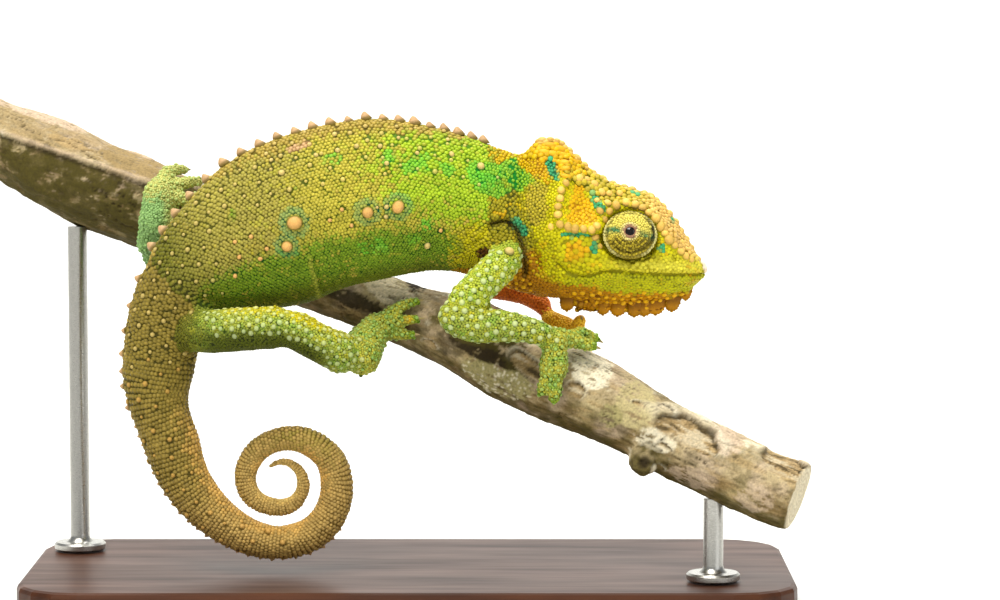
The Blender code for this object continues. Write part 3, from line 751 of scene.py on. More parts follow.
BLOTCHES = (  # paint, x, z, half length, half height, slope in degrees, strength
    ("emerald", -10.7, 67.0, 2.0, 1.4, 20, 0.55),
    ("emerald", -2.7, 67.2, 1.6, 1.2, -30, 0.8),
    ("emerald", 1.5, 66.6, 1.5, 2.2, -60, 0.9),
    ("emerald", 6.0, 65.6, 1.6, 1.0, -20, 0.8),
    ("emerald", 11.4, 65.2, 2.6, 1.9, -12, 1.2),
    ("emerald", 12.0, 63.2, 3.4, 1.2, -20, 1.1),
    ("emerald", 15.8, 64.8, 3.0, 2.0, -35, 1.4),
    ("lower", -16.0, 62.6, 0.9, 0.9, 0, 0.4),
    ("lower", -26.0, 58.8, 0.9, 1.6, 0, 0.45),
    ("emerald", -5.0, 54.2, 3.4, 1.6, 10, 0.5),
    ("emerald", 3.2, 57.8, 1.4, 1.6, 0, 0.6),
    ("emerald", 1.0, 55.2, 1.6, 1.2, 0, 0.4),
    ("teal", 16.6, 57.2, 1.9, 0.9, -45, 1.2),
    ("teal", 21.5, 65.6, 0.8, 2.1, 25, 1.1),
    ("teal", 25.2, 56.0, 2.6, 0.45, 0, 1.1),
    ("teal", 27.8, 54.4, 0.7, 1.3, 0, 1.0),
    ("teal", 28.4, 60.4, 0.8, 2.0, 30, 0.9),
    ("teal", 37.9, 54.0, 0.7, 0.7, 0, 0.8),
    ("teal", 39.5, 57.6, 0.7, 0.6, 0, 0.7),
    ("teal", 34.0, 61.8, 1.2, 0.4, -10, 0.5),
    ("orange", 25.9, 58.5, 2.7, 1.3, 0, 1.2),
    ("orange", 25.7, 60.3, 1.9, 1.6, 0, 1.2),
    ("orange", 25.4, 62.2, 1.0, 1.4, 0, 1.1),
    ("orange", 25.2, 53.4, 1.9, 1.9, 0, 0.9),
    ("patch", 19.4, 60.9, 1.9, 4.0, 0, 1.2),
    ("nape", 18.0, 66.9, 1.7, 1.5, 0, 1.2),
    ("snout_tip", 45.2, 50.9, 1.3, 0.9, -40, 1.2),
    ("scar", -16.2, 68.9, 2.4, 0.7, 18, 0.9),
    # A dark spot painted in a hollow of the skin: painted shade.
    ("hollow", 11.6, 53.0, 1.5, 1.1, -30, 1.0),
    ("throat", 10.4, 49.0, 4.6, 1.7, -12, 0.95),
    ("back", -28.0, 54.0, 3.0, 3.0, 0, 0.3),
    ("orange", -22.6, 53.8, 2.6, 1.8, 0, 0.25),
)
# Big flank tubercles with a green ring round each: x, z, width, ring's radius.
RINGED = (
    (-16.6, 57.8, 2.3, 1.75),
    (-17.8, 54.3, 1.8, 1.35),
    (-5.8, 59.4, 2.0, 1.55),
    (-1.3, 60.2, 2.0, 1.6),
)


def blotch(points, x, z, long, tall, slope):
    """1 inside an uneven spot, falling to 0 outside it."""
    return 1 - ramp(np.hypot(*in_ellipse(points, x, z, long, tall, slope)), 0.55, 1.25)


class Layers:
    """Paints laid over one another at points of the body: colours of granules and of grooves."""

    def __init__(self, points, owner, speckle):
        self.points, self.owner, self.speckle = points, owner, speckle
        self.run, self.height = along_body(points)
        self.paints = {name: (linear(top), linear(groove)) for name, (top, groove) in PAINTS.items()}
        self.top = np.tile(self.paints["middle"][0], (len(points), 1))
        self.groove = np.tile(self.paints["middle"][1], (len(points), 1))
        self.broken = 0.35 * speckle + 0.3 * clouds(points, 3.0, 1.0)

    def lay(self, name, weight, on_tops=1.0):
        top, groove = self.paints[name]
        weight = np.clip(np.asarray(weight, float), 0, 1)[:, None]
        self.top = self.top + (top - self.top) * weight * on_tops
        self.groove = self.groove + (groove - self.groove) * weight

    def edged(self, weight, soft=0.3):
        """The weight with an uneven edge where it passes a half."""
        return ramp(weight + self.broken, 0.5 - soft, 0.5 + soft)


def mark_trunk(at):
    """The trunk and neck."""
    x, _, z = at.points.T
    height, speckle, lay, edged = at.height, at.speckle, at.lay, at.edged
    lay("rear", edged(ramp(-x, 8, 26)))
    lay("front", edged(ramp(x, -14, 7) * ramp(z + 0.25 * x, 56, 62)))
    lay("lower", edged(ramp(-height, 0.15, 0.55) * ramp(14 - x, 0, 8) * 1.1))
    lay("chest", edged(ramp(x, 4, 10) * ramp(60 - z, 0, 5)))
    # The belly is painted darker underneath: painted shade.
    lay("belly", 0.8 * ramp(-height, 0.72, 0.95))
    lay("rear", edged(ramp(-x, 29, 35)))
    lay("pelvis", ramp(-x - 0.35 * (z - 50) + 1.5 * speckle, 24, 38) * ramp(64 - z, 0, 8))
    lay("back", edged(ramp(height, 0.72, 0.95) * 0.9 * ramp(13 - x, 0, 6)))
    neck = is_of(at.owner, ("neck", "head", "lower_jaw")) | (x > 12)
    lay("neck", neck * edged(ramp(x, 9, 14)))
    lay("nape", neck * edged(ramp(z, 65.6, 67.4) * ramp(x, 10, 15)))
    lay("throat", neck * edged(ramp(55.5 - z, 0, 3.5) * ramp(x, 12, 15) * 1.2))


def mark_head(at):
    """The head and jaw, and the neck beside them."""
    x, _, z = at.points.T
    owner, speckle, lay, edged = at.owner, at.speckle, at.lay, at.edged
    head = is_of(owner, (*HEAD_NODES, "neck"))
    lay("cheek", head * edged(ramp(x + 0.25 * (z - 58), 15.6, 20.4), 0.35))
    crown = is_crown(at.points, owner)
    lay("crown", crown)
    lay("casque", head * edged(ramp(z - 0.2 * x, 58.4, 62.0) * ramp(x, 16.5, 18.5) * 1.1))
    lay("snout", crown * ramp(x + 0.8 * speckle, 33, 38))
    above_mouth = z - level_of(MOUTH_LINE[::-1], x)
    lay("lip", head * ramp(x, 27, 36) * bell(above_mouth, 1.1, 1.3))
    lay("jaw", head * ramp(-above_mouth, 0.0, 0.4) * ramp(x, 22, 26))
    lay("throat", head * edged(ramp(48.2 + 0.16 * np.maximum(33 - x, 0) - z, 0.4, 2.0)))
    lay("lobe", head * ramp(45.6 - z, 0, 1.2))


def mark_spots(at):
    """The blotches, the rings round the flank's tubercles, and the folds."""
    x, y, z = at.points.T
    speckle, lay = at.speckle, at.lay
    warped = at.points.copy()
    warped[:, 0] += 1.1 * clouds(at.points, 2.6, 21.0)
    warped[:, 2] += 1.1 * clouds(at.points, 2.6, 22.0)
    body = ~is_of(at.owner, (*LIMB_NODES, *FOOT_NODES, *TAIL_NODES))
    for name, bx, bz, long, tall, slope, strength in BLOTCHES:
        loose = name in ("emerald", "patch")
        spot = blotch(warped if loose else at.points, bx, bz, long, tall, slope) * strength
        on_tops = 0.6 if loose else 1.0
        lay(name, body * ramp(spot * (1 + 0.5 * speckle), 0.25, 0.75), on_tops)
    for bx, bz, _, radius in RINGED:
        away = np.hypot(x - bx, z - bz)
        ring = 1 - ramp(np.abs(away - radius - 0.25 * speckle), 0.25, 0.8)
        lay("teal", body * ring, 0.35)

    right = y < 0
    for line, depth, width in RIGHT_FOLDS:
        near = right * near_line(at.points, line, width)
        if depth > 0:
            lay("fold", 0.8 * body * near)
        # The deepest grooves are painted dark inside: painted shade.
        elif depth < SHADED_FOLD_DEPTH:
            lay("crease", near * body)


def mark_tail(at):
    """The tail."""
    x, _, z = at.points.T
    run, height, speckle, lay = at.run, at.height, at.speckle, at.lay
    tail = is_of(at.owner, TAIL_NODES)
    lay("tail", tail * ramp(40 - z + 3 * speckle, 0, 22))
    lay("tail_upper", tail * ramp(-x + 1.5 * speckle, 23, 33) * ramp(z, 9, 20) * 0.85)
    lay("tail_inner", tail * ramp(-height + 0.25 * speckle, 0.35, 0.9) * ramp(32 - z, 0, 8) * 0.8)
    lay("cream", 0.8 * tail * ramp(run, 158, 175) * ramp(-height, 0.2, 0.7))


def mark_limbs(at):
    """The legs, feet and toes. Those of the left side that the photo shows have their own paints."""
    x, _, z = at.points.T
    owner, speckle, lay = at.owner, at.speckle, at.lay
    limb = is_of(owner, (*LIMB_NODES, *FOOT_NODES)).astype(float)
    hips = is_of(owner, ("hindleg_right_upper", "hindleg_left_upper"))
    limb[hips] = ramp(x[hips] + 1.2 * speckle[hips], -33, -28)
    lay("limb", limb)
    lay("arm", is_of(owner, ("foreleg_right_upper", "foreleg_left_upper")))
    tufts = clouds(at.points, 1.5, 27.0)
    thigh = is_of(owner, ("hindleg_right_upper", "hindleg_right_lower"))
    top_edge = level_of(THIGH_TOP, x)
    lay("limb_top", thigh * ramp(z - top_edge + 1.5 + 0.6 * speckle, 0, 1.3) * ramp(x, -29, -25))
    below_top = np.where(thigh, ramp(top_edge - z, 1, 2), 1)
    lay("limb_green", limb * 0.6 * ramp(tufts + 0.5 * speckle, -0.1, 0.7) * below_top)
    lay("limb_top", limb * 0.45 * ramp(-tufts + 0.5 * speckle, 0.2, 0.9))
    lay("limb_under", thigh * ramp(top_edge - z - 2.2 + 0.7 * speckle, 0, 2.2) * ramp(-x, 9, 14) * limb)
    lay("limb_top", is_of(owner, ("foreleg_right_lower",)) * ramp(z - 44.2 + speckle, 0, 1.6) * 0.3)
    feet = is_of(owner, FOOT_NODES)
    lay("toe", feet * ramp(0.6 * speckle - tufts, -0.3, 0.4))
    toes = is_of(owner, ("hindleg_right_foot",)) & (x > -0.6)
    lay("orange", toes * ramp(0.4 * speckle + np.abs(z - 43.0) * -0.5 + 0.9, 0.3, 0.9) * 0.6)
    far = is_of(owner, ("hindleg_left_lower", "hindleg_left_foot"))
    lay("far_foot", far)
    lay("far_foot_low", far * ramp(61.5 - z + speckle, 0, 1.5) * ramp(-x, 36, 38))
    # Painted brighter than their own colours against the throat's shadow: partly painted light.
    lay("far_arm", is_of(owner, ("foreleg_left_lower", "foreleg_left_upper")))
    lay("far_hand", is_of(owner, ("foreleg_left_foot",)))
    near_feet = is_of(owner, ("foreleg_right_foot", "hindleg_right_foot"))
    tips = [tip for name in FOOT_NODES for tip, _ in small_ends(name, CLAW_END_SIZE)]
    from_tips = np.min([np.linalg.norm(at.points - tip, axis=1) for tip in tips], axis=0)
    lay("toe_tip", near_feet * (1 - ramp(from_tips, 1.3, 2.4)))


def markings(points, owner, speckle):
    """(granule colours, groove colours) in linear light. speckle, from -1 to 1, breaks edges up."""
    layers = Layers(points, owner, speckle)
    for mark in (mark_trunk, mark_head, mark_spots, mark_tail, mark_limbs):
        mark(layers)
    patches = clouds(points, 1.6, 2.0)
    shade = 1 + 0.16 * speckle + 0.10 * patches
    return layers.top * shade[:, None], layers.groove * (1 + 0.08 * patches)[:, None]


# ---------------------------------------------------------------------------------------
# Scales


def lathe_shape(sides, rings):
    """A unit form from rings of (radius, height) and an apex: points, triangles, rise."""
    *rows, (_, apex) = rings
    points, rise = [], []
    for radius, height in rows:
        for k in range(sides):
            turn = math.tau * k / sides
            points.append((radius * math.cos(turn), radius * math.sin(turn), height))
            rise.append(height)
    points.append((0, 0, apex))
    rise.append(apex)
    triangles = grid_triangles(len(rows), sides)
    last = (len(rows) - 1) * sides
    for k in range(sides):
        triangles.append((last + k, last + (k + 1) % sides, last + sides))
    rise = np.clip(np.array(rise) / apex, 0, 1)
    return np.array(points), np.array(triangles), rise


UNWRAP_VOXEL, UNWRAP_ANGLE, UNWRAP_MARGIN = 1.1, math.radians(60), 0.004
BAKE_PATCH, BAKE_MARGIN = 0.003, 0.004  # a scale's patch on the OFBake map, and the map's bare edge
TOP_RISE = (0.15, 0.75)  # a scale turns from its groove's colour, partly painted shade, to its top's between these heights
# how much lighter a scale's tip is painted: a painted highlight
TIP_HIGHLIGHT = 0.18
# Forms of scales: rings of (radius, height) and an apex, in half widths of the scale.
GRANULE = lathe_shape(7, ((1.0, -0.35), (0.82, 0.26), (0.0, 0.52)))
PLATE = lathe_shape(8, ((1.0, -0.30), (0.90, 0.12), (0.58, 0.24), (0.0, 0.27)))
STUD = lathe_shape(12, ((1.0, -0.35), (0.96, 0.12), (0.74, 0.42), (0.40, 0.58), (0.0, 0.63)))
BOSS = lathe_shape(12, ((1.0, -0.30), (0.97, 0.20), (0.72, 0.62), (0.38, 0.84), (0.0, 0.92)))
SPINE_TALL, SPINE_WIDTH, SPINE_BEND = 1.85, 1.85, 0.35
SPINE = lathe_shape(
    12, ((1.0, -0.4), (0.92, 0.30), (0.72, 0.85), (0.48, 1.35), (0.24, 1.70), (0.0, SPINE_TALL))
)


SCATTER_DENSITY, SCATTER_STEP, SCATTER_NEIGHBOURS, SCATTER_ROUNDS = 0.88, 0.45, 7, 9


def scatter(skin, wanted, spacing, fixed, rounds=SCATTER_ROUNDS):
    """Roots spread evenly over the wanted triangles, about spacing(points, owner) apart.

    fixed holds the points and widths of what is there already, which they keep clear of.
    """
    corners = skin.points[skin.triangles[wanted]]
    across = np.cross(corners[:, 1] - corners[:, 0], corners[:, 2] - corners[:, 0])
    area = np.linalg.norm(across, axis=1) / 2
    share = area / (SCATTER_DENSITY * spacing(corners.mean(axis=1), skin.face_owner[wanted]) ** 2)
    count = int(share.sum())
    steps = (np.arange(count) + rng.random(count)) / count * share.sum()
    chosen = np.searchsorted(np.cumsum(share), steps).clip(0, len(share) - 1)
    u, v = np.sqrt(rng.random(count)), rng.random(count)
    weights = np.stack([1 - u, u * (1 - v), u * v], axis=1)
    roots = np.einsum("ij,ijk->ik", weights, corners[chosen])
    owner = skin.face_owner[wanted][chosen]
    fixed_points, fixed_widths = fixed
    for _ in range(rounds):
        widths = np.concatenate([spacing(roots, owner), fixed_widths])
        everything = np.concatenate([roots, fixed_points])
        tree = point_tree(everything)
        found = [tree.find_n(p, SCATTER_NEIGHBOURS) for p in roots.tolist()]
        near = np.array([[n[1] for n in some] for some in found])[:, 1:]
        away = roots[:, None] - everything[near]
        gap = np.linalg.norm(away, axis=2)
        target = (widths[: len(roots), None] + widths[near]) / 2
        push = np.clip(1 - gap / target, 0, 1) * target / np.maximum(gap, 1e-3)
        moved = roots + SCATTER_STEP * np.einsum("ij,ijk->ik", push, away)
        found = [skin.tree.find_nearest(p) for p in moved.tolist()]
        roots = np.array([hit[0] for hit in found])
        owner = skin.face_owner[[hit[2] for hit in found]]
    return roots


def rooted(skin, roots):
    """What placing scales at these roots needs, from the nearest place on the skin."""
    found = [skin.tree.find_nearest(p) for p in np.asarray(roots).tolist()]
    return SimpleNamespace(
        point=np.array([hit[0] for hit in found]),
        normal=unit(np.array([hit[1] for hit in found])),
        owner=skin.face_owner[[hit[2] for hit in found]],
    )


def seen_from_side(skin, places, sign):
    """The skin where a line across the body at each (x, z) meets it, from the side of sign."""
    roots = []
    for x, z in places:
        hit = skin.tree.ray_cast((x, 30 * sign, z), (0, -sign, 0))[0]
        if hit is None:
            hit = skin.tree.find_nearest((x, 0.5 * sign, z))[0]
        roots.append(tuple(hit))
    return np.array(roots)


# The tail's rings: how close they and their scales stand, how uneven they are, and the sizes of
# the scales: those of every third ring's outer side, the others, and the range round either.
RING_CLOSENESS, RING_TURN_JITTER, RING_SHIFT_JITTER = 0.92, 0.12, 0.09
RING_BIG, RING_PLAIN, RING_RANGE = 1.25, 1.05, (0.92, 1.14)


def tail_rings(skin):
    """Roots in rings round the tail, and their widths, greatest on its outer edge."""
    roots, widths = [], []
    first = next(i for i, m in enumerate(AXIS.middle) if m[2] < RINGS_START_Z)
    place, row = AXIS.run[first], 0
    while place < AXIS.run[-1] + 0.2:
        middle, up = on_axis(place)
        half = np.interp(place, AXIS.run, AXIS.half)
        width = float(tail_granule(half))
        count = max(6, round(math.tau * RING_CLOSENESS * half / width))
        for k in range(count):
            jitter = rng.uniform(-RING_TURN_JITTER, RING_TURN_JITTER)
            turn = math.tau * (k + 0.5 * (row % 2) + jitter) / count
            jitter = rng.uniform(-RING_SHIFT_JITTER, RING_SHIFT_JITTER)
            shift = np.cross(up, (0, 1, 0)) * jitter * width
            start, out = (middle + shift).tolist(), off_axis(up, turn).tolist()
            hit, _, index, _ = skin.tree.ray_cast(start, out, 2.2 * half)
            if hit is not None and is_of(skin.face_owner[index], TAIL_NODES):
                roots.append(tuple(hit))
                size = RING_BIG if row % 3 == 0 and math.cos(turn) > 0.3 else RING_PLAIN
                widths.append(width * size * rng.uniform(*RING_RANGE))
        place += RING_CLOSENESS * width
        row += 1
    return np.array(roots), np.array(widths)


# Points in a contour round the body, and how far out from its axis they are looked for.
CONTOUR_STEPS, BODY_REACH = 168, 16.0
ROW_STEP, ROW_CLOSENESS, ROW_JITTER = 0.53, 0.88, 0.11
ROWS_START_X, RAGGED_ROWS = 15.5, 4  # the first rows are thinned out, so that they have no edge
# A scale this short for its width is joined with the next row's, and one this long is halved.
SHORTEST, LONGEST, STRETCHES = 0.62, 1.45, (0.75, 1.3)


def body_rows(skin):
    """Roots in staggered rows along the trunk, their widths, and how long each is for its width."""
    first = int(np.argmax(AXIS.middle[:, 0] < ROWS_START_X))
    last = int(np.argmax(AXIS.middle[:, 2] < RINGS_START_Z))
    stations, place = [], AXIS.run[first]
    while place < AXIS.run[last]:
        stations.append(place)
        place += ROW_STEP / 2
    turns = np.linspace(0, math.tau, CONTOUR_STEPS, endpoint=False)
    contour = np.full((len(stations), CONTOUR_STEPS, 3), np.nan)
    owners = np.zeros((len(stations), CONTOUR_STEPS), int)
    for i, place in enumerate(stations):
        middle, up = on_axis(place)
        for j, turn in enumerate(turns):
            hit, _, index, _ = skin.tree.ray_cast(middle.tolist(), off_axis(up, turn).tolist(), BODY_REACH)
            if hit is not None:
                contour[i, j] = hit
                owners[i, j] = skin.face_owner[index]
    flat = contour.reshape(-1, 3)
    seen = ~np.isnan(flat[:, 0])
    local = np.full(len(flat), 0.5)
    local[seen] = granule(flat[seen], owners.reshape(-1)[seen])
    local = local.reshape(contour.shape[:2])
    along = np.linalg.norm(contour[2:] - contour[:-2], axis=2)
    along = np.concatenate([along[:1], along, along[-1:]])
    good = is_of(owners, ("trunk", "neck", "tail_base")) & ~np.isnan(along)

    roots, widths, stretches = [], [], []
    half = CONTOUR_STEPS // 2
    for i in range(len(stations)):
        for side in (1, -1):
            order = (side * np.arange(half + 1)) % CONTOUR_STEPS
            line, width, long = contour[i, order], local[i, order], along[i, order]
            gap = np.linalg.norm(np.diff(line, axis=0), axis=1)
            gap = np.where(np.isnan(gap), 0.5, gap)
            steps = gap / (ROW_CLOSENESS * (width[1:] + width[:-1]) / 2)
            count = np.concatenate([[0.0], np.cumsum(steps)])
            for k in range(i % 2, int(count[-1]), 2):
                at = np.searchsorted(count, k + 0.5) - 1
                if at + 1 >= len(order) or not (good[i, order[at]] and good[i, order[at + 1]]):
                    continue
                share = (k + 0.5 - count[at]) / (count[at + 1] - count[at])
                root = line[at] + share * (line[at + 1] - line[at])
                length = long[at] / width[at]
                if length < SHORTEST and (k // 2 + i // 2) % 2:
                    continue
                if rng.random() > (i + 1) / (RAGGED_ROWS + 1):
                    continue
                if length < LONGEST:
                    roots.append(root)
                    widths.append(width[at])
                    stretches.append(length if length > SHORTEST else 2 * length)
                    continue
                behind, ahead = contour[i - 1, order[at]], contour[(i + 1) % len(stations), order[at]]
                for part in (-0.25, 0.25):
                    roots.append(root + part * (ahead - behind))
                    widths.append(width[at])
                    stretches.append(length / 2)
    roots, widths = np.array(roots), np.array(widths)
    roots += rng.normal(0, ROW_JITTER, roots.shape) * widths[:, None]
    return roots, widths, np.clip(stretches, *STRETCHES)


def planted(skin, shape, roots, widths, colours, stretch=1.0, turned=True):
    """Copies of a form on the skin, at any turn or, if not turned, in line with the body.

    stretch draws them out along the body, and colours are those of their tops and of the grooves.
    """
    form, triangles, rise = shape
    place = rooted(skin, roots)
    count = len(place.point)
    tops, grooves = colours
    side = unit(np.cross(place.normal, tailward(place.point)))
    ahead = np.cross(side, place.normal)
    turn = rng.random(count) * math.tau if turned else np.zeros(count)
    cos, sin = np.cos(turn)[:, None], np.sin(turn)[:, None]
    first, second = ahead * cos + side * sin, side * cos - ahead * sin
    half = widths[:, None, None] / 2
    points = place.point[:, None] + half * (
        first[:, None] * form[None, :, :1] * np.reshape(stretch, (-1, 1, 1))
        + second[:, None] * form[None, :, 1:2]
        + place.normal[:, None] * form[None, :, 2:]
    )
    # Each scale darkens to the grooves' colour at its foot, partly painted shade, and its tip is painted
    # lighter, a painted highlight.
    light = ramp(rise, *TOP_RISE)[None, :, None]
    colours = blend(grooves[:, None], tops[:, None], light)
    colours = colours * (1 + TIP_HIGHLIGHT * ramp(rise, 0.8, 1.0)[None, :, None])
    return SimpleNamespace(
        points=points, colours=np.clip(colours, 0, 1), triangles=triangles,
        form=form, root=place.point, owner=place.owner,
    )


def batch_of(skin, form, triangles, points, colours, roots):
    """Scales of one form, which needn't be alike."""
    return SimpleNamespace(
        points=np.array(points), colours=np.array(colours), triangles=triangles,
        form=form, root=np.array(roots), owner=rooted(skin, roots).owner,
    )


def some_of(batch, chosen):
    """The scales of a batch that are chosen."""
    return SimpleNamespace(
        points=batch.points[chosen], colours=batch.colours[chosen], triangles=batch.triangles,
        form=batch.form, root=batch.root[chosen], owner=batch.owner[chosen],
    )


def skin_unwrap(skin):
    """A function from places on the skin to places on an unwrap of its own shape."""
    points, triangles = remeshed("unwrapped", skin.points, skin.triangles, UNWRAP_VOXEL)
    obj = mesh_object("unwrapped", points, triangles)
    bpy.context.view_layer.objects.active = obj
    obj.select_set(True)
    bpy.ops.object.mode_set(mode="EDIT")
    bpy.ops.mesh.select_all(action="SELECT")
    bpy.ops.uv.smart_project(angle_limit=UNWRAP_ANGLE, island_margin=UNWRAP_MARGIN)
    bpy.ops.object.mode_set(mode="OBJECT")
    corners = np.empty(len(obj.data.loops) * 2)
    obj.data.uv_layers.active.data.foreach_get("uv", corners)
    corners = corners.reshape(-1, 3, 2)
    bpy.data.objects.remove(obj, do_unlink=True)
    tree = tree_of(points, triangles)

    def places(roots):
        found = [tree.find_nearest(p) for p in roots.tolist()]
        faces = [hit[2] for hit in found]
        at = np.array([hit[0] for hit in found])
        a, b, c = points[triangles[faces]].transpose(1, 0, 2)
        whole = np.linalg.norm(np.cross(b - a, c - a), axis=1)
        v = np.linalg.norm(np.cross(at - a, c - a), axis=1) / whole
        w = np.linalg.norm(np.cross(b - a, at - a), axis=1) / whole
        weights = np.stack([1 - v - w, v, w], axis=1)
        return np.einsum("ij,ijk->ik", weights, corners[faces])

    return places


def coat_piece(name, batches, unwrap):
    """Scales joined in one piece, each with a small patch of its own on the OFBake map."""
    all_points, all_triangles, all_colours, all_uv = [], [], [], []
    count = 0
    for batch in batches:
        each = batch.points.shape[1]
        number = len(batch.points)
        starts = count + each * np.arange(number)
        triangles = (batch.triangles[None] + starts[:, None, None]).reshape(-1, 3)
        local = batch.form[:, :2] / np.abs(batch.form[:, :2]).max() * BAKE_PATCH / 2
        uv = unwrap(batch.root)[:, None] + local[None]
        all_points.append(batch.points.reshape(-1, 3))
        all_triangles.append(triangles)
        all_colours.append(batch.colours.reshape(-1, 3))
        all_uv.append(uv.reshape(-1, 2))
        count += each * number
    points, triangles = np.concatenate(all_points), np.concatenate(all_triangles)
    uv = np.concatenate(all_uv)
    low, high = uv.min(axis=0), uv.max(axis=0)
    uv = BAKE_MARGIN + (1 - 2 * BAKE_MARGIN) * (uv - low) / (high - low)
    obj = mesh_object(name, points, triangles, SCALE)
    set_colours(obj, "markings", np.concatenate(all_colours))
    layer = obj.data.uv_layers.new(name="OFBake")
    layer.data.foreach_set("uv", uv[triangles].ravel())
    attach(obj, "root")


# Tubercles that stand out: x, z, width. All but the profile's and the snout's are on both sides.
HEAD_BOSSES = (
    (30.1, 59.4, 1.2), (29.7, 60.7, 1.4), (31.2, 60.3, 1.3), (32.5, 60.6, 1.6), (33.8, 60.3, 1.4),
    (34.9, 59.9, 1.2), (35.9, 59.2, 1.3), (37.0, 58.3, 1.5), (37.7, 57.2, 1.35), (38.3, 56.1, 1.3),
    (39.0, 55.1, 1.4), (39.8, 54.2, 1.4), (40.6, 53.4, 1.3), (41.4, 52.8, 1.3), (42.3, 52.1, 1.2),
    (29.4, 58.2, 1.1), (28.3, 57.2, 1.15), (27.2, 56.8, 1.15), (26.1, 56.8, 1.1), (25.0, 56.9, 1.2),
    (23.9, 57.1, 1.2), (22.7, 57.6, 1.5), (22.5, 58.9, 1.2), (22.4, 60.1, 1.2), (22.6, 61.3, 1.2),
    (22.9, 62.5, 1.25), (23.4, 63.7, 1.3), (28.6, 59.5, 1.0), (28.0, 55.5, 1.05), (28.6, 54.3, 0.9),
    (28.9, 62.3, 1.4), (27.8, 63.3, 1.4), (26.7, 63.9, 1.3), (25.5, 64.3, 1.3), (28.3, 61.1, 1.1),
    (30.1, 61.9, 1.2), (31.7, 62.0, 1.1), (40.9, 54.6, 1.1), (21.4, 57.0, 0.9),
)
# Those of the casque are long plates that overlap: x, z, width.
CASQUE_BOSSES = (
    (23.2, 67.6, 1.0), (23.3, 66.6, 1.0), (23.5, 65.6, 0.95), (23.6, 64.6, 0.9),
    (24.9, 67.4, 0.9), (25.1, 66.5, 0.9), (25.3, 65.6, 0.85), (21.2, 69.1, 1.1),
    (22.5, 68.6, 1.1), (20.4, 68.2, 1.0), (21.8, 67.8, 1.05), (23.6, 68.6, 1.0), (19.4, 68.9, 0.9),
    (21.9, 66.8, 0.9), (20.5, 67.2, 0.85),
)
CASQUE_STRETCH, BOSS_SHIFT = 1.7, 0.10
# Those along the top of the head, which stand in a middle row and one on each side of it.
PROFILE_BOSSES = (
    (18.8, 69.4, 1.2), (19.9, 69.9, 1.2), (21.4, 70.1, 1.3), (22.7, 69.7, 1.3), (23.8, 69.0, 1.2),
    (24.8, 67.9, 1.2), (25.8, 66.7, 1.2), (27.0, 65.7, 1.2), (28.4, 65.0, 1.1), (29.9, 64.3, 1.1),
    (31.2, 63.6, 1.1), (32.8, 63.0, 1.1), (34.2, 62.6, 1.1), (35.6, 62.2, 1.1), (36.9, 61.4, 1.1),
    (38.0, 60.5, 1.1), (39.0, 59.5, 1.1), (39.9, 58.4, 1.05), (40.8, 57.1, 1.0), (41.7, 55.8, 0.95),
    (42.6, 54.5, 0.95), (43.4, 53.0, 0.9), (44.3, 51.6, 0.8),
)
BODY_BOSSES = (
    (-3.0, 60.2, 0.9), (-3.1, 58.7, 0.8), (-4.4, 60.1, 0.6), (3.0, 54.3, 1.05), (10.9, 66.0, 1.35),
    (6.6, 67.8, 0.9), (-4.0, 69.0, 0.9), (-7.5, 69.0, 0.9), (-18.6, 65.1, 1.05), (-10.3, 68.4, 0.9),
    (-10.8, 70.7, 0.9), (-3.0, 66.5, 0.9), (1.5, 68.0, 0.75), (-1.3, 70.2, 0.75), (6.0, 69.9, 0.75),
    (-13.5, 67.7, 0.75), (-21.0, 67.8, 0.75), (-20.2, 66.9, 0.75), (15.1, 53.5, 1.6),
)
ORANGE_BOSSES = (
    (-23.1, 55.7, 0.8), (-24.9, 52.7, 0.75), (-21.8, 52.4, 0.8), (-25.6, 49.8, 0.75),
    (-25.5, 54.9, 0.75), (-20.8, 53.9, 0.75), (-9.6, 59.8, 0.75), (-8.2, 57.4, 0.7),
    (5.0, 56.6, 0.7), (-11.4, 58.2, 0.7),
)
SIDE_BOSSES = (
    (HEAD_BOSSES, GOLD_BOSS),
    (CASQUE_BOSSES, CASQUE_BOSS),
    (BODY_BOSSES, TAN_BOSS),
    (ORANGE_BOSSES, ORANGE_BOSS),
    (RINGED, ORANGE_BOSS),
)
PROFILE_OFFSET = 1.15  # the profile's outer rows stand this far from its middle one
SNOUT_TIP = ((44.7, 51.7), (45.1, 51.3), (45.4, 50.8), (45.5, 50.2), (44.6, 50.9))
SNOUT_TIP_Y, SNOUT_TIP_WIDTH = (-1.5, -0.9, -0.3, 0.3, 0.9, 1.5), 0.78
LABIAL_RISE, LABIAL_STEP, LABIAL_WIDTH = 0.5, 0.62, 0.66
HEAD_BOSS_GROWTH, PROFILE_GROWTH = 1.04, 1.15


def tinted(colour, grooves, spread):
    """Colours like one of 0 to 255, up to spread from it, over the groove colours of their places."""
    tops = linear(colour) * (1 + spread * rng.uniform(-1, 1, (len(grooves), 1)))
    return tops, grooves


def boss_rows(skin):
    """The tubercles that have places of their own: (roots, widths, colour of 0 to 255)."""
    rows = []
    for sign in (-1, 1):
        for bosses, colour in SIDE_BOSSES:
            places = [(x, z) for x, z, *_ in bosses]
            widths = [boss[2] for boss in bosses]
            rows.append((seen_from_side(skin, places, sign), widths, colour))
    for offset in (-PROFILE_OFFSET, 0.0, PROFILE_OFFSET):
        shift = 0.5 if offset else 0.0
        places = [(x + shift, offset, z + 1.0 + shift / 2) for x, z, _ in PROFILE_BOSSES]
        widths = [width for *_, width in PROFILE_BOSSES]
        colour = GOLD_BOSS if offset else PROFILE_BOSS
        rows.append((rooted(skin, places).point, widths, colour))
    places = [(x, y, z) for x, z in SNOUT_TIP for y in SNOUT_TIP_Y]
    widths = np.full(len(places), SNOUT_TIP_WIDTH)
    rows.append((rooted(skin, places).point, widths, PAINTS["snout_tip"][0]))
    return rows


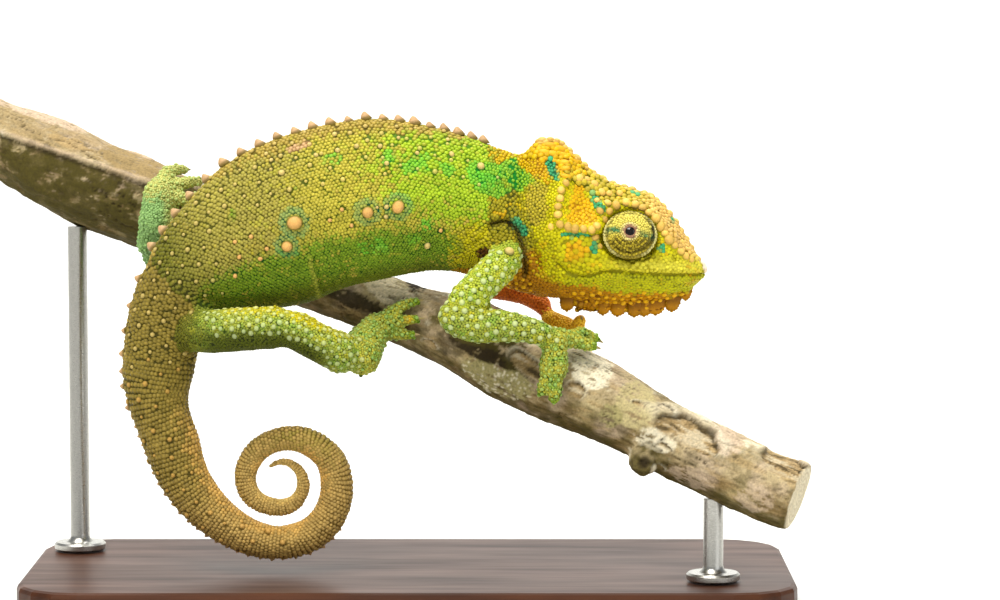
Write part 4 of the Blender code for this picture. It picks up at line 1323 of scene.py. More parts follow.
def labial_roots(skin):
    """Roots in a row along each lip, on both sides."""
    line = smooth_line(MOUTH_LINE[:7], 12)
    run = np.concatenate([[0], np.cumsum(np.linalg.norm(np.diff(line, axis=0), axis=1))])
    steps = np.arange(0.4, run[-1], LABIAL_STEP)
    x, z = (np.interp(steps, run, line[:, k]) for k in range(2))
    rows = []
    for rise in (LABIAL_RISE, -LABIAL_RISE):
        for sign in (-1, 1):
            rows.append(seen_from_side(skin, np.stack([x, z + rise], axis=1), sign))
    return np.concatenate(rows)


def clear_of(roots, widths, taken, taken_widths, share=0.5):
    """Which roots stand clear of those already taken."""
    tree = point_tree(taken)
    found = [tree.find(point) for point in roots.tolist()]
    gap = np.array([hit[2] for hit in found])
    return gap > share * (widths + taken_widths[[hit[1] for hit in found]])


# The larger tubercles with no places of their own: how far apart, width, colour, the share of
# that colour in theirs, and form. scattered_places says where each kind stands.
SCATTERED = {
    "forelegs": (1.45, 1.0, PALE_BOSS, 0.7, STUD),
    "hindlegs": (1.15, 0.90, PALE_BOSS, 0.5, STUD),
    "feet": (0.90, 0.66, TOE_BOSS, 0.5, BOSS),
    "back": (2.6, 0.85, TAN_BOSS, 0.6, BOSS),
    "tail": (2.8, 0.95, TAIL_BOSS, 0.5, BOSS),
    "throat": (1.25, 1.0, THROAT_BOSS, 0.75, STUD),
}
SCATTERED_ROUNDS, SCATTERED_SIZES = 14, (0.65, 1.1)
SHOULDER_Z = 53.4  # no pale tubercles above this on a foreleg
# Nor are there any behind the hip, or this far under the thigh's upper edge up to the knee.
HIP_X, THIGH_UNDERSIDE, KNEE_X = -29.5, 3.6, -12.0
# How near scales may come to those already there, as a share of both their widths.
TAIL_SHARE, ROW_SHARE, BARE_SHARE, LAST_SHARE = 0.30, 0.36, 0.55, 0.26
PLANTED_SHARE = 0.62  # how much of their widths those already planted keep clear while others spread
# The sizes of scales beside the places' own: in the tail's rings, in rows, and scattered.
RING_SIZE, ROW_SIZES, GRANULE_SIZES = 1.14, (1.18, 1.48), (1.12, 1.36)
MOUTH_CLEAR, SCALE_MOUTH_CLEAR = 0.16, 0.17  # no skin with scales, and no scale, this near the mouth
PLATES_AHEAD_X = 22.5  # the side of the head has flat plates from here on
# The coat's pieces: whose scales each has, on which side of the body, and its slot.
COAT_PIECES = {
    "coat_head": ((*HEAD_NODES, "neck"), 0, "skin_head"),
    "coat_trunk_right": (("trunk",), -1, "skin_back"),
    "coat_trunk_left": (("trunk",), 1, "skin_back"),
    "coat_tail": (TAIL_NODES, 0, "skin_tail"),
    "coat_legs": (LIMB_NODES, 0, "skin_leg"),
    "coat_feet": (FOOT_NODES, 0, "skin_leg"),
}


def scattered_places(owner, x, z, height):
    """Which faces of the skin each kind of SCATTERED stands on."""
    limbs = is_of(owner, LIMB_NODES)
    under = is_of(owner, ("hindleg_right_upper", "hindleg_right_lower", "hindleg_left_upper"))
    under &= (level_of(THIGH_TOP, x) - z > THIGH_UNDERSIDE) & (x < KNEE_X)
    under |= is_of(owner, ("hindleg_right_upper",)) & (x < HIP_X)
    upper_back = is_of(owner, ("trunk",)) & (height > 0.35) & (height < 0.98)
    rear = is_of(owner, ("trunk", "tail_base")) & (x < -29) & (z > RINGS_START_Z)
    forelegs = is_of(owner, [name for name in LIMB_NODES if name.startswith("fore")])
    far_arm = is_of(owner, ("foreleg_left_lower", "foreleg_left_upper"))
    outer_tail = (z < RINGS_START_Z) & (height > -0.3)
    return {
        "forelegs": forelegs & ~far_arm & (z < SHOULDER_Z),
        "hindlegs": limbs & ~(under | forelegs | far_arm),
        "feet": is_of(owner, FOOT_NODES) & ~is_of(owner, ("foreleg_left_foot",)),
        "back": upper_back | rear,
        "tail": is_of(owner, ("tail_base", "tail_middle")) & outer_tail,
        "throat": is_of(owner, ("lower_jaw", "neck")) & (z < np.where(x > 24, 46.9, 49.6)),
    }


def speckled(skin, roots):
    """The colours of scales at these roots, each a little lighter or darker than its place."""
    return markings(roots, rooted(skin, roots).owner, rng.uniform(-1, 1, len(roots)))


def plain_marks(skin, roots):
    """The same with no change of one from the next."""
    return markings(roots, rooted(skin, roots).owner, np.zeros(len(roots)))


class Coat:
    """The scales planted so far, and how much room they take."""

    def __init__(self, skin):
        self.skin = skin
        self.batches, self.taken, self.taken_widths = [], [], []

    def plant(self, shape, roots, widths, colours, **how):
        self.batches.append(planted(self.skin, shape, roots, widths, colours, **how))
        self.taken.append(np.asarray(roots))
        self.taken_widths.append(np.asarray(widths))

    def fixed(self):
        return np.concatenate(self.taken), np.concatenate(self.taken_widths)

    def own_tubercles(self):
        """Those with places of their own, and the scales of the lips."""
        for roots, widths, colour in boss_rows(self.skin):
            widths = np.array(widths)
            _, grooves = plain_marks(self.skin, roots)
            on_head = colour in (GOLD_BOSS, CASQUE_BOSS, PROFILE_BOSS)
            stretch = rng.uniform(0.95, 1.25, len(roots))
            if on_head:
                roots = roots + rng.normal(0, BOSS_SHIFT, roots.shape)
                widths = widths * HEAD_BOSS_GROWTH * rng.uniform(0.86, 1.12, len(widths))
                grooves = grooves + 0.35 * (linear(colour) - grooves)
            if colour == CASQUE_BOSS:
                stretch = stretch * CASQUE_STRETCH
            if colour == PROFILE_BOSS:
                widths = widths * PROFILE_GROWTH
            shape = STUD if colour in (GOLD_BOSS, CASQUE_BOSS) else BOSS
            tints = tinted(colour, grooves, 0.16 if on_head else 0.08)
            self.plant(shape, roots, widths, tints, stretch=stretch, turned=colour != CASQUE_BOSS)
        lips = labial_roots(self.skin)
        tops, grooves = speckled(self.skin, lips)
        widths = np.full(len(lips), LABIAL_WIDTH)
        self.plant(GRANULE, lips, widths, (tops * 1.05, grooves), turned=False)

    def scattered_tubercles(self, places):
        """The larger tubercles of SCATTERED, each kind in its places."""
        for kind, (spacing, width, colour, share, shape) in SCATTERED.items():

            def even(points, _, apart=spacing):
                return np.full(len(points), apart)

            nothing = (np.zeros((0, 3)), np.zeros(0))
            roots = scatter(self.skin, places[kind], even, nothing, SCATTERED_ROUNDS)
            widths = width * rng.uniform(*SCATTERED_SIZES, len(roots))
            keep = clear_of(roots, widths, *self.fixed()) & ~near_claws(roots)
            roots, widths = roots[keep], widths[keep]
            tops, grooves = plain_marks(self.skin, roots)
            self.plant(shape, roots, widths, (tops + share * (linear(colour) - tops), grooves))

    def rings(self):
        """The scales in rings round the tail."""
        roots, widths = tail_rings(self.skin)
        keep = clear_of(roots, widths, *self.fixed(), share=TAIL_SHARE)
        roots, widths = roots[keep], widths[keep]
        self.plant(GRANULE, roots, widths * RING_SIZE, speckled(self.skin, roots), turned=False)

    def rows(self):
        """Those in rows along the trunk: (their roots, their widths)."""
        roots, widths, stretches = body_rows(self.skin)
        keep = clear_of(roots, widths, *self.fixed(), share=ROW_SHARE)
        roots, widths, stretches = roots[keep], widths[keep], stretches[keep]
        colours = speckled(self.skin, roots)
        sizes = widths * rng.uniform(*ROW_SIZES, len(roots))
        self.plant(GRANULE, roots, sizes, colours, stretch=stretches, turned=False)
        return roots, widths

    def the_rest(self, wanted):
        """Granules, plates and studs spread over the faces that are wanted."""
        there, there_widths = self.fixed()
        roots = scatter(self.skin, wanted, granule, (there, PLANTED_SHARE * there_widths))
        place = rooted(self.skin, roots)
        widths = granule(roots, place.owner) * rng.uniform(*GRANULE_SIZES, len(roots))
        head = is_of(place.owner, HEAD_NODES)
        keep = clear_of(roots, widths, there, there_widths, share=LAST_SHARE) & ~near_eye(roots)
        keep &= ~((distance_to_line(roots, MOUTH_LINE) < SCALE_MOUTH_CLEAR) & head)
        keep &= ~near_claws(roots)
        crown = is_crown(roots, place.owner)
        flat = head & ~crown & (roots[:, 0] > PLATES_AHEAD_X)
        for shape, chosen in ((STUD, crown), (PLATE, flat), (GRANULE, ~(crown | flat))):
            chosen &= keep
            some, owners = roots[chosen], place.owner[chosen]
            colours = markings(some, owners, rng.uniform(-1, 1, len(some)))
            self.batches.append(planted(self.skin, shape, some, widths[chosen], colours))


def make_coat(skin, unwrap):
    """All the scales, in pieces of under 200,000 triangles."""
    centres = skin.points[skin.triangles].mean(axis=1)
    _, height = along_body(centres)
    x, _, z = centres.T
    owner = skin.face_owner
    coat = Coat(skin)
    coat.own_tubercles()
    coat.scattered_tubercles(scattered_places(owner, x, z, height))
    coat.rings()
    row_roots, row_widths = coat.rows()
    in_rows = is_of(owner, ("trunk", "neck", "tail_base"))
    bare = clear_of(centres, np.full(len(centres), 0.5), row_roots, row_widths, share=BARE_SHARE)
    ringed = is_of(owner, TAIL_NODES) & (z < RINGS_START_Z)
    mouth = is_of(owner, HEAD_NODES) & (distance_to_line(centres, MOUTH_LINE) < MOUTH_CLEAR)
    coat.the_rest(~(ringed | near_eye(centres) | mouth) & (bare | ~in_rows))
    batches = [*coat.batches, crest(skin), *lobes(skin)]
    for name, (nodes, side, slot) in COAT_PIECES.items():
        parts = []
        for batch in batches:
            chosen = is_of(batch.owner, nodes)
            if side:
                chosen &= np.sign(batch.root[:, 1] + 1e-9) == side
            if chosen.any():
                parts.append(some_of(batch, chosen))
        coat_piece(name, parts, unwrap)


# ---------------------------------------------------------------------------------------
# Eyes

EYE_LOOK = (-0.03, 0.96, 0.27)  # direction of the left eye's pupil; the right one's y is turned round
PUPIL_RADIUS, RIM_RADIUS, EYE_GRANULE = 0.80, 0.98, 0.46
LID_CREASE, CREASE_RADIUS = 1.0, 3.5  # angle from the pupil, and the same in millimetres
CREASE_TURN = 0.9  # where round the eye the painted shade in the crease is darkest, from the front
LID_WRINKLES = (1.75, 2.3, 2.85)  # how far below the pupil its fine folds are, drawn only as lines of painted shade
# The turret's rings, as angles from the pupil: few near it, and close ones further out.
TURRET_SIDES = 72
INNER_RINGS, INNER_RINGS_END = 8, 0.34
OUTER_RINGS, OUTER_RINGS_START, OUTER_RINGS_END = 46, 0.4, 1.75
TURRET_SUNK, OPENING_SUNK = 0.16, 0.42  # how far inside the solid its skin and its opening lie
RIM_HEIGHT, RIM_WIDTH = 0.07, 0.16
CREASE_DEPTH, CREASE_WIDTH = 0.26, 0.045
LID_RISE, MORE_LID_RISE_BELOW = 0.10, 0.18
EYE_GRANULES_END = 1.5
EYE_SCALES_TALL, EYE_CLOSENESS = 1.2, 0.92
BALL_RADIUS, BALL_SUNK, BALL_SIDES = 2.3, 0.30, 40
SOCKET_GAP = 0.12
EYE_PAINTS = {
    "yellow": (224, 208, 90),
    "olive": (196, 174, 46),
    "teal": (74, 128, 80),
    "pink": (150, 112, 84),
    "halo": (240, 222, 150),
    # The lid's own pale cream, made paler to make up for the shade on its band: partly painted light.
    "lid": (224, 214, 136),
}


def eye_centre(side):
    low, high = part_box("eye_" + side)
    return np.array((low + high) / 2) / MM, np.array((high - low) / 2) / MM


def near_eye(points):
    """The skin of the sockets, which the turrets fill."""
    hidden = np.zeros(len(points), bool)
    for side in ("right", "left"):
        centre, radii = eye_centre(side)
        hidden |= np.linalg.norm((points - centre) / (radii + SOCKET_GAP), axis=1) < 1
    return hidden


def eye_frame(side, sign):
    """Where an eye is, and its three directions: along the head, up it, and out of the pupil."""
    centre, radii = eye_centre(side)
    look = unit(np.array([EYE_LOOK[0], sign * EYE_LOOK[1], EYE_LOOK[2]]))
    across = unit(sign * np.cross(look, (0, 0, 1)))
    upward = sign * np.cross(across, look)
    return SimpleNamespace(
        side=side, centre=centre, look=look, across=across, upward=upward, size=radii[[0, 2, 1]]
    )


def on_turret(eye, angle, turn, out):
    """A place on the turret: angle away from the pupil, turn round it, and out from it."""
    out = np.asarray(out)[..., None]
    return (
        eye.centre
        + eye.across * (np.sin(angle) * np.cos(turn))[..., None] * (eye.size[0] + out)
        + eye.upward * (np.sin(angle) * np.sin(turn))[..., None] * (eye.size[1] + out)
        + eye.look * np.cos(angle)[..., None] * (eye.size[2] + out)
    )


def facing_out(points, triangles, centre):
    """The triangles, turned round if they face the centre."""
    outward = np.einsum("ij,ij->i", point_normals(points, triangles), points - centre).sum()
    return triangles if outward >= 0 else triangles[:, ::-1]


def make_turret(eye):
    """The skin of the turret, with the rim of its opening, the lid and the crease round it."""
    first = PUPIL_RADIUS / eye.size[0]
    angles = np.concatenate([
        np.linspace(first, INNER_RINGS_END, INNER_RINGS),
        np.linspace(OUTER_RINGS_START, OUTER_RINGS_END, OUTER_RINGS),
    ])
    turns = np.linspace(0, math.tau, TURRET_SIDES, endpoint=False)
    angle, turn = np.meshgrid(angles, turns, indexing="ij")
    radius = np.sin(angle) * eye.size[0]
    rim = bell(radius, 0.5 * (PUPIL_RADIUS + RIM_RADIUS), RIM_WIDTH) * RIM_HEIGHT
    crease = -CREASE_DEPTH * bell(angle, LID_CREASE, CREASE_WIDTH)
    out = -TURRET_SUNK + rim + crease + lid_rise(angle, turn)
    inner = on_turret(eye, np.full(TURRET_SIDES, first * 0.95), turns, -OPENING_SUNK)
    points = np.concatenate([inner, on_turret(eye, angle, turn, out).reshape(-1, 3)])
    triangles = np.array(grid_triangles(len(angles) + 1, TURRET_SIDES))
    triangles = facing_out(points, triangles, eye.centre)
    turret = mesh_object(f"eye_{eye.side}_turret", points, triangles, SCALE)
    set_colours(turret, "markings", eye_colours(points, eye, False))
    return turret


def eye_scales(eye):
    """The turret's granules, in rings: (roots, directions, widths)."""
    rings = []
    angle = (RIM_RADIUS + 0.12) / eye.size[0]
    while angle < EYE_GRANULES_END:
        width = EYE_GRANULE * (0.85 + 0.3 * ramp(angle, 0.2, 1.2))
        count = round(math.tau * math.sin(angle) * eye.size[0] / (width * 0.94))
        turn = math.tau * (np.arange(count) + rng.random() + rng.uniform(-0.26, 0.26, count)) / count
        shifted = angle + rng.uniform(-0.18, 0.18, count) * width / eye.size[0]
        roots = on_turret(eye, shifted, turn, lid_rise(shifted, turn) - 0.12)
        above = on_turret(eye, shifted, turn, 0.9)
        clear = np.abs(shifted - LID_CREASE) > CREASE_WIDTH
        widths = width * rng.uniform(0.80, 1.12, count)
        rings.append((roots[clear], unit(above - roots)[clear], widths[clear]))
        angle += width * EYE_CLOSENESS / eye.size[0]
    return (np.concatenate(rows) for rows in zip(*rings))


def make_eye_granules(eye):
    """The granules of the turret, each with a small patch of its own on the OFBake map."""
    roots, normals, widths = eye_scales(eye)
    form, faces, rise = GRANULE
    first = unit(np.cross(normals, eye.upward + 0.01))
    second = np.cross(normals, first)
    points = roots[:, None] + widths[:, None, None] / 2 * (
        first[:, None] * form[None, :, :1]
        + second[:, None] * form[None, :, 1:2]
        + normals[:, None] * form[None, :, 2:] * EYE_SCALES_TALL
    )
    tops = eye_colours(roots, eye, True)[:, None]
    light = ramp(rise, *TOP_RISE)[None, :, None]
    # A granule's foot is painted half as bright, painted shade between granules, and its top a little
    # lighter, a painted highlight.
    colours = tops * 0.50 * (1 - light) + tops * light * 1.02
    starts = len(form) * np.arange(len(roots))
    all_faces = (faces[None] + starts[:, None, None]).reshape(-1, 3)
    granules = mesh_object(f"eye_{eye.side}_granules", points.reshape(-1, 3), all_faces, SCALE)
    set_colours(granules, "markings", colours.reshape(-1, 3))
    away = unit(roots - eye.centre)
    flat = np.stack([away @ eye.across, away @ eye.upward], axis=1)
    angle = np.arccos(np.clip(away @ eye.look, -1, 1))
    flat = 0.5 + 0.31 * flat * (angle / np.maximum(np.linalg.norm(flat, axis=1), 1e-6))[:, None]
    uv = flat[:, None] + form[None, :, :2] * BAKE_PATCH / 2
    layer = granules.data.uv_layers.new(name="OFBake")
    layer.data.foreach_set("uv", uv.reshape(-1, 2)[all_faces].ravel())
    return granules


def make_eyeball(eye):
    """The dark ball behind the opening."""
    outline = [(math.sin(a), math.cos(a)) for a in np.linspace(1.5, 0.0, 14)]
    form, faces, _ = lathe_shape(BALL_SIDES, outline)
    middle = eye.centre + eye.look * (eye.size[2] - BALL_SUNK - BALL_RADIUS)
    points = middle + BALL_RADIUS * (
        eye.across * form[:, :1] + eye.upward * form[:, 1:2] + eye.look * form[:, 2:]
    )
    return mesh_object(f"eye_{eye.side}_ball", points, facing_out(points, faces, middle), EYEBALL)


def make_eye(side, sign):
    """A turret of fine granules in rings, and the eyeball that shows through its small opening."""
    eye = eye_frame(side, sign)
    turret = make_turret(eye)
    for piece in (turret, make_eye_granules(eye), make_eyeball(eye)):
        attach(piece, "root")
    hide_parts("eye_" + side)


def lid_rise(angle, turn):
    """How far the rim of the lid stands out, most below the eye."""
    below = LID_RISE + MORE_LID_RISE_BELOW * ramp(-np.sin(turn), -0.2, 0.9)
    return below * bell(angle - LID_CREASE, 0.17, 0.09)


def eye_colours(points, eye, tops):
    """Pale yellow above, olive below, a teal band level with the pupil, a pink rim round it, painted shade
    in folds.
    """
    away = points - eye.centre
    level, rise = away @ eye.across, away @ eye.upward
    radius = np.hypot(level, rise)
    paints = {name: linear(colour) for name, colour in EYE_PAINTS.items()}
    broken = clouds(points, 0.9, 3.0)
    fine = clouds(points, 0.35, 23.0)
    band = bell(rise + 0.16 * level, -0.05, 0.40) * ramp(radius, 1.2, 1.6)
    rim = 1 - ramp(radius, 0.98, 1.04)
    layers = (
        ("yellow", ramp(rise, -1.6, 0.6)),
        ("teal", np.clip(band * (0.95 + 0.9 * broken), 0, 1)),
        # the lid's pale band, partly painted light
        ("lid", ramp(radius, CREASE_RADIUS, CREASE_RADIUS + 0.15) * 0.9),
        ("halo", (1 - ramp(radius, 1.15, 1.6)) * 0.8),
        ("pink", rim),
    )
    colours = paints["olive"]
    for name, share in layers:
        colours = blend(colours, paints[name], share[:, None])
    colours = colours * (1 + 0.12 * broken + 0.16 * fine)[:, None]
    # Painted shade in the crease round the lid, darkest towards CREASE_TURN, and in the fine folds below
    # the pupil.
    to_crease = level * math.cos(CREASE_TURN) + rise * math.sin(CREASE_TURN)
    crease_shade = 0.45 + 0.5 * ramp(to_crease / CREASE_RADIUS, -0.2, 0.7)
    groove = crease_shade * bell(radius, CREASE_RADIUS, 0.15)
    for fold in LID_WRINKLES:
        near_fold = bell(radius + 0.16 * broken, fold, 0.13)
        groove = np.maximum(groove, 0.8 * near_fold * ramp(-rise + 0.3 * fine, 0.4, 1.2))
    colours = colours * (1 - groove)[:, None]
    # On the turret's skin, all but the rim is painted darker between the granules: painted shade.
    return colours if tops else colours * np.where(rim > 0.5, 1.0, 0.55)[:, None]


# ---------------------------------------------------------------------------------------
# Spines and claws, found where the solids have them


def small_ends(name, longest):
    """Middles and outward directions of the small flat ends of a node's spines or claws."""
    points, triangles = node_arrays(name)
    corners = points[triangles]
    sides = np.linalg.norm(corners - np.roll(corners, 1, axis=1), axis=2)
    small = np.flatnonzero(sides.max(axis=1) < longest)
    across = np.cross(corners[:, 1] - corners[:, 0], corners[:, 2] - corners[:, 0])
    groups = []
    for face in small:
        middle = corners[face].mean(axis=0)
        for group in groups:
            if np.linalg.norm(group[0] - middle) < 2 * longest:
                group[1].append(face)
                break
        else:
            groups.append((middle, [face]))
    ends = []
    for _, faces in groups:
        normal = across[faces].sum(axis=0)
        if len(faces) == 3 and np.linalg.norm(normal) > 0.1 * longest**2:
            ends.append((corners[faces].reshape(-1, 3).mean(axis=0), unit(normal)))
    return ends


# Where the tail's small spines start and end, from the snout, how far apart and how tall they are.
TAIL_SPINES_START, TAIL_SPINES_END, TAIL_SPINE_STEP, TAIL_SPINE_TALL = 101.5, 142.0, 1.5, 0.52
SPINE_END_SIZE = 0.2  # the breadth of the end of a solid's spine


def tail_spines(skin):
    """Ends of a row of small spines along the outer edge of the tail: (tip, direction)."""
    ends = []
    for place in np.arange(TAIL_SPINES_START, TAIL_SPINES_END, TAIL_SPINE_STEP):
        middle, up = on_axis(place)
        up = unit(up)
        hit = skin.tree.ray_cast(middle.tolist(), up.tolist(), BODY_REACH)[0]
        ends.append((np.array(hit) + TAIL_SPINE_TALL * up, up))
    return ends


def crest(skin):
    """A spine over each of the solids' spines, leaning to the tail."""
    ends = small_ends("trunk", SPINE_END_SIZE) + small_ends("tail_base", SPINE_END_SIZE)
    ends += tail_spines(skin)
    form, triangles, rise = SPINE
    side = np.array([0.0, 1.0, 0.0])
    tops, feet = linear(SPINE_BOSS), linear(PAINTS["back"][1])
    # Each spine darkens to the back's groove colour at its foot: partly painted shade.
    light = ramp(rise, 0.0, 0.45)[:, None]
    points, colours, roots = [], [], []
    for tip, direction in ends:
        root = np.array(skin.tree.find_nearest((tip - direction * 1.2).tolist())[0])
        up = unit(tip - root)
        ahead = unit(np.cross(side, up))
        share = form[:, 2:] / SPINE_TALL
        tall = np.linalg.norm(tip - root) * rng.uniform(0.80, 1.05)
        wide = min(SPINE_WIDTH * rng.uniform(0.90, 1.20), 1.6 * tall) / 2
        points.append(
            root
            + up * share * tall
            + ahead * (form[:, :1] * wide - SPINE_BEND * share * (1 - share))
            + side * form[:, 1:2] * wide * 0.8
        )
        colours.append(blend(feet, tops, light) * rng.uniform(0.9, 1.1))
        roots.append(root)
    return batch_of(skin, form, triangles, points, colours, roots)


LOBE_TIPS = (  # x, z, width
    (41.6, 45.7, 1.8), (39.5, 44.0, 2.5), (37.1, 43.5, 2.8), (35.4, 43.3, 2.6), (33.9, 43.2, 2.7),
    (31.4, 43.3, 2.7), (29.2, 43.5, 2.4), (27.4, 44.1, 2.0), (25.6, 44.5, 2.0), (23.8, 44.1, 2.5),
)
LOBE_ROOT_RISE, LOBE_FRINGE, FRINGE_WIDTH = 2.1, 6, 0.26
LOBE_OUTLINE = ((1.0, -0.1), (0.97, 0.28), (0.86, 0.57), (0.60, 0.84), (0.0, 1.0))
LOBE = lathe_shape(14, LOBE_OUTLINE)


def lobes(skin):
    """A flat scale over each lobe under the throat, and the fringes of small ones on their edges."""
    form, triangles, rise = LOBE
    points, colours, roots = [], [], []
    top, groove = (linear(colour) for colour in PAINTS["lobe"])
    # Each lobe darkens to the groove colour towards its root: partly painted shade.
    light = ramp(rise, 0.0, 0.6)[:, None]
    for x, z, width in LOBE_TIPS:
        tip = np.array([x, 0.0, z])
        root = tip + np.array([0.25, 0.0, LOBE_ROOT_RISE])
        spread = form[:, :2] * np.array([width / 2, width / 4.4])
        points.append(root + np.pad(spread, ((0, 0), (0, 1))) + (tip - root) * form[:, 2:])
        colours.append(blend(groove, top, light) * rng.uniform(0.85, 1.15))
        roots.append(root)
    return batch_of(skin, form, triangles[:, ::-1], points, colours, roots), lobe_fringes(skin)


def lobe_fringes(skin):
    """Small granules along the edge of each lobe."""
    form, triangles, rise = GRANULE
    side = np.array([0.0, 1.0, 0.0])
    points, colours, roots = [], [], []
    top, groove = (linear(colour) for colour in PAINTS["orange"])
    # Each fringe granule darkens to the groove colour at its foot: partly painted shade.
    light = ramp(rise, 0.1, 0.8)[:, None]
    radii, heights = np.array(LOBE_OUTLINE).T
    for x, z, width in LOBE_TIPS:
        for share in np.linspace(-1, 1, 2 * LOBE_FRINGE + 1):
            height = 1 - share**2 * 0.9
            radius = math.copysign(np.interp(height, heights, radii), share)
            out = unit(np.array([radius * 0.8, 0.0, -0.3 - height * (1 - abs(radius))]))
            ahead = np.cross(side, out)
            root = np.array([x, 0.0, z]) + (0.25 * (1 - height), 0, LOBE_ROOT_RISE * (1 - height))
            root = root + (0.5 * width * radius, rng.uniform(-0.45, 0.05), 0)
            half = FRINGE_WIDTH * rng.uniform(0.8, 1.3) / 2
            spread = ahead * form[:, :1] + side * form[:, 1:2] + out * form[:, 2:] * 1.3
            points.append(root + half * spread)
            colours.append(blend(groove, top, light) * rng.uniform(0.7, 1.1))
            roots.append(root)
    return batch_of(skin, form, triangles, points, colours, roots)


CLAW_LENGTH, CLAW_RADIUS, CLAW_DROOP, CLAW_REACH = 1.0, 0.27, 0.12, 0.3
CLAW_RINGS, CLAW_SIDES, CLAW_POINT = 9, 10, 0.02


def near_claws(points):
    """The ends of the toes, which the claws cover."""
    hidden = np.zeros(len(points), bool)
    for name in FOOT_NODES:
        for tip, direction in small_ends(name, CLAW_END_SIZE):
            back = np.clip((tip - points) @ direction, -0.3, CLAW_LENGTH * 0.75)
            gap = np.linalg.norm(points - (tip - back[:, None] * direction), axis=1)
            hidden |= gap < CLAW_REACH
    return hidden


def make_claws():
    """A curved claw over each claw of the solids' toes."""
    for name in FOOT_NODES:
        points, triangles = [], []
        for tip, direction in small_ends(name, CLAW_END_SIZE):
            side = unit(np.cross(direction, (0.2, 0.1, 1.0)))
            over = np.cross(side, direction)
            triangles += grid_triangles(CLAW_RINGS, CLAW_SIDES, len(points))
            for share in np.arange(CLAW_RINGS) / (CLAW_RINGS - 1):
                radius = CLAW_RADIUS * (1 - share) ** 0.6 + CLAW_POINT
                middle = tip - direction * (CLAW_LENGTH * (1 - share) + 0.1)
                middle = middle + over * CLAW_DROOP * (share - share**2) * 1.6
                for turn in math.tau * np.arange(CLAW_SIDES) / CLAW_SIDES:
                    around = side * math.cos(turn) * 0.75 + over * math.sin(turn)
                    points.append(middle + around * radius)
        obj = mesh_object(name.replace("foot", "claws"), np.array(points), np.array(triangles), HORN)
        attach(obj, "root")


# ---------------------------------------------------------------------------------------
# Perch

PERCH_VOXEL, PERCH_ROUNDS, PERCH_SUNK = 0.34, 22, 0.10
PERCH_ENDS = ((-68.5, 25.6, 71.6), (58.0, -12.0, 17.6))
KNOT, KNOT_REACH = (35.0, -11.0, 22.6), 3.6
BARK = {
    "grey": (172, 154, 116),
    "brown": (122, 100, 62),
    "tan": (150, 128, 86),
    "pale": (212, 196, 164),
    "lichen": (152, 142, 94),
    "dark": (46, 36, 16),
    "cream": (224, 214, 186),
    "golden": (168, 142, 96),
    "olive": (182, 168, 120),
    "pink": (192, 170, 144),
    # dark olive brown of painted shade: underneath, under the ledge and under the near foreleg
    "deep_shade": (72, 64, 22),
    "shade": (86, 76, 38),
}
# Marks of the bark: paint, x, z, half length, half height, slope in degrees, strength.
BARK_MARKS = (
    ("tan", -56.0, 70.8, 12.0, 3.0, -17, 0.7),
    ("tan", -42.9, 65.8, 6.0, 2.4, -17, 1.0),
    ("pink", -58.0, 73.0, 9.0, 0.9, -19, 0.9),
    ("pink", -43.0, 67.6, 7.0, 0.8, -21, 0.8),
    # paler bark, painted light where the belly's shadow falls
    ("pale", -2.6, 46.7, 4.2, 1.9, -20, 1.0),
    ("lichen", 13.6, 34.4, 6.0, 2.6, -22, 1.0),
    # painted shadow of the near foreleg and hand
    ("dark", 11.5, 38.4, 6.0, 1.6, -22, 1.0),
    ("shade", -54.0, 62.0, 14.0, 5.0, -17, 1.0),
    ("golden", -52.3, 68.6, 4.0, 0.8, -17, 0.8),
    ("shade", -46.8, 62.4, 4.4, 2.2, -17, 0.8),
    ("dark", -8.8, 45.5, 5.5, 1.4, -20, 0.9),
    ("dark", 1.0, 47.6, 1.9, 0.8, -20, 1.0),
    ("dark", -14.0, 48.5, 2.2, 1.0, 30, 0.8),
    ("dark", 6.6, 39.6, 3.0, 2.6, 0, 0.7),
    # This and the two below: painted shadow of the near foreleg and hand.
    ("dark", 12.6, 40.0, 5.4, 1.1, -12, 0.8),
    ("deep_shade", 10.4, 41.6, 8.0, 2.6, -16, 0.9),
    ("deep_shade", 16.6, 37.4, 3.4, 2.2, -30, 0.7),
    ("cream", 27.4, 36.5, 3.4, 3.2, -40, 1.0),
    ("cream", 23.5, 38.6, 2.0, 1.4, -30, 0.8),
    ("olive", 33.8, 31.0, 3.2, 3.6, 0, 0.9),
    ("lichen", 30.2, 29.4, 1.8, 1.8, 0, 1.0),
    ("cream", 36.7, 25.9, 3.4, 1.9, -10, 0.8),
    ("pink", 46.9, 26.2, 2.8, 2.2, -30, 0.9),
    ("cream", 45.4, 29.2, 5.0, 0.8, -24, 0.9),
    ("pink", 42.0, 20.6, 4.0, 1.8, -22, 0.6),
    ("pink", 51.0, 18.0, 3.4, 2.4, -22, 0.6),
)
# Where bark has flaked off: x, z, half length, half height, slope in degrees, depth.
FLAKED = (
    (17.8, 36.4, 3.0, 1.6, -34, 0.55),
    (24.8, 33.0, 1.6, 1.7, -40, 0.45),
    (28.6, 39.0, 3.6, 1.0, -18, 0.5),
    (41.2, 27.2, 5.8, 2.4, -26, 0.7),
    (55.8, 22.6, 4.4, 2.1, -26, 0.6),
)
FLAKES = 12  # how many more there are at random places
LICHEN_DARK_X = 20.0  # lichen behind this has pale dots, and that before it has dark ones
LEDGE = ((-63.5, 70.0), (-51.6, 66.3), (-39.7, 62.4))  # a lip of bark near the left end
LEDGE_DEPTH, LEDGE_END_X = 0.55, -38


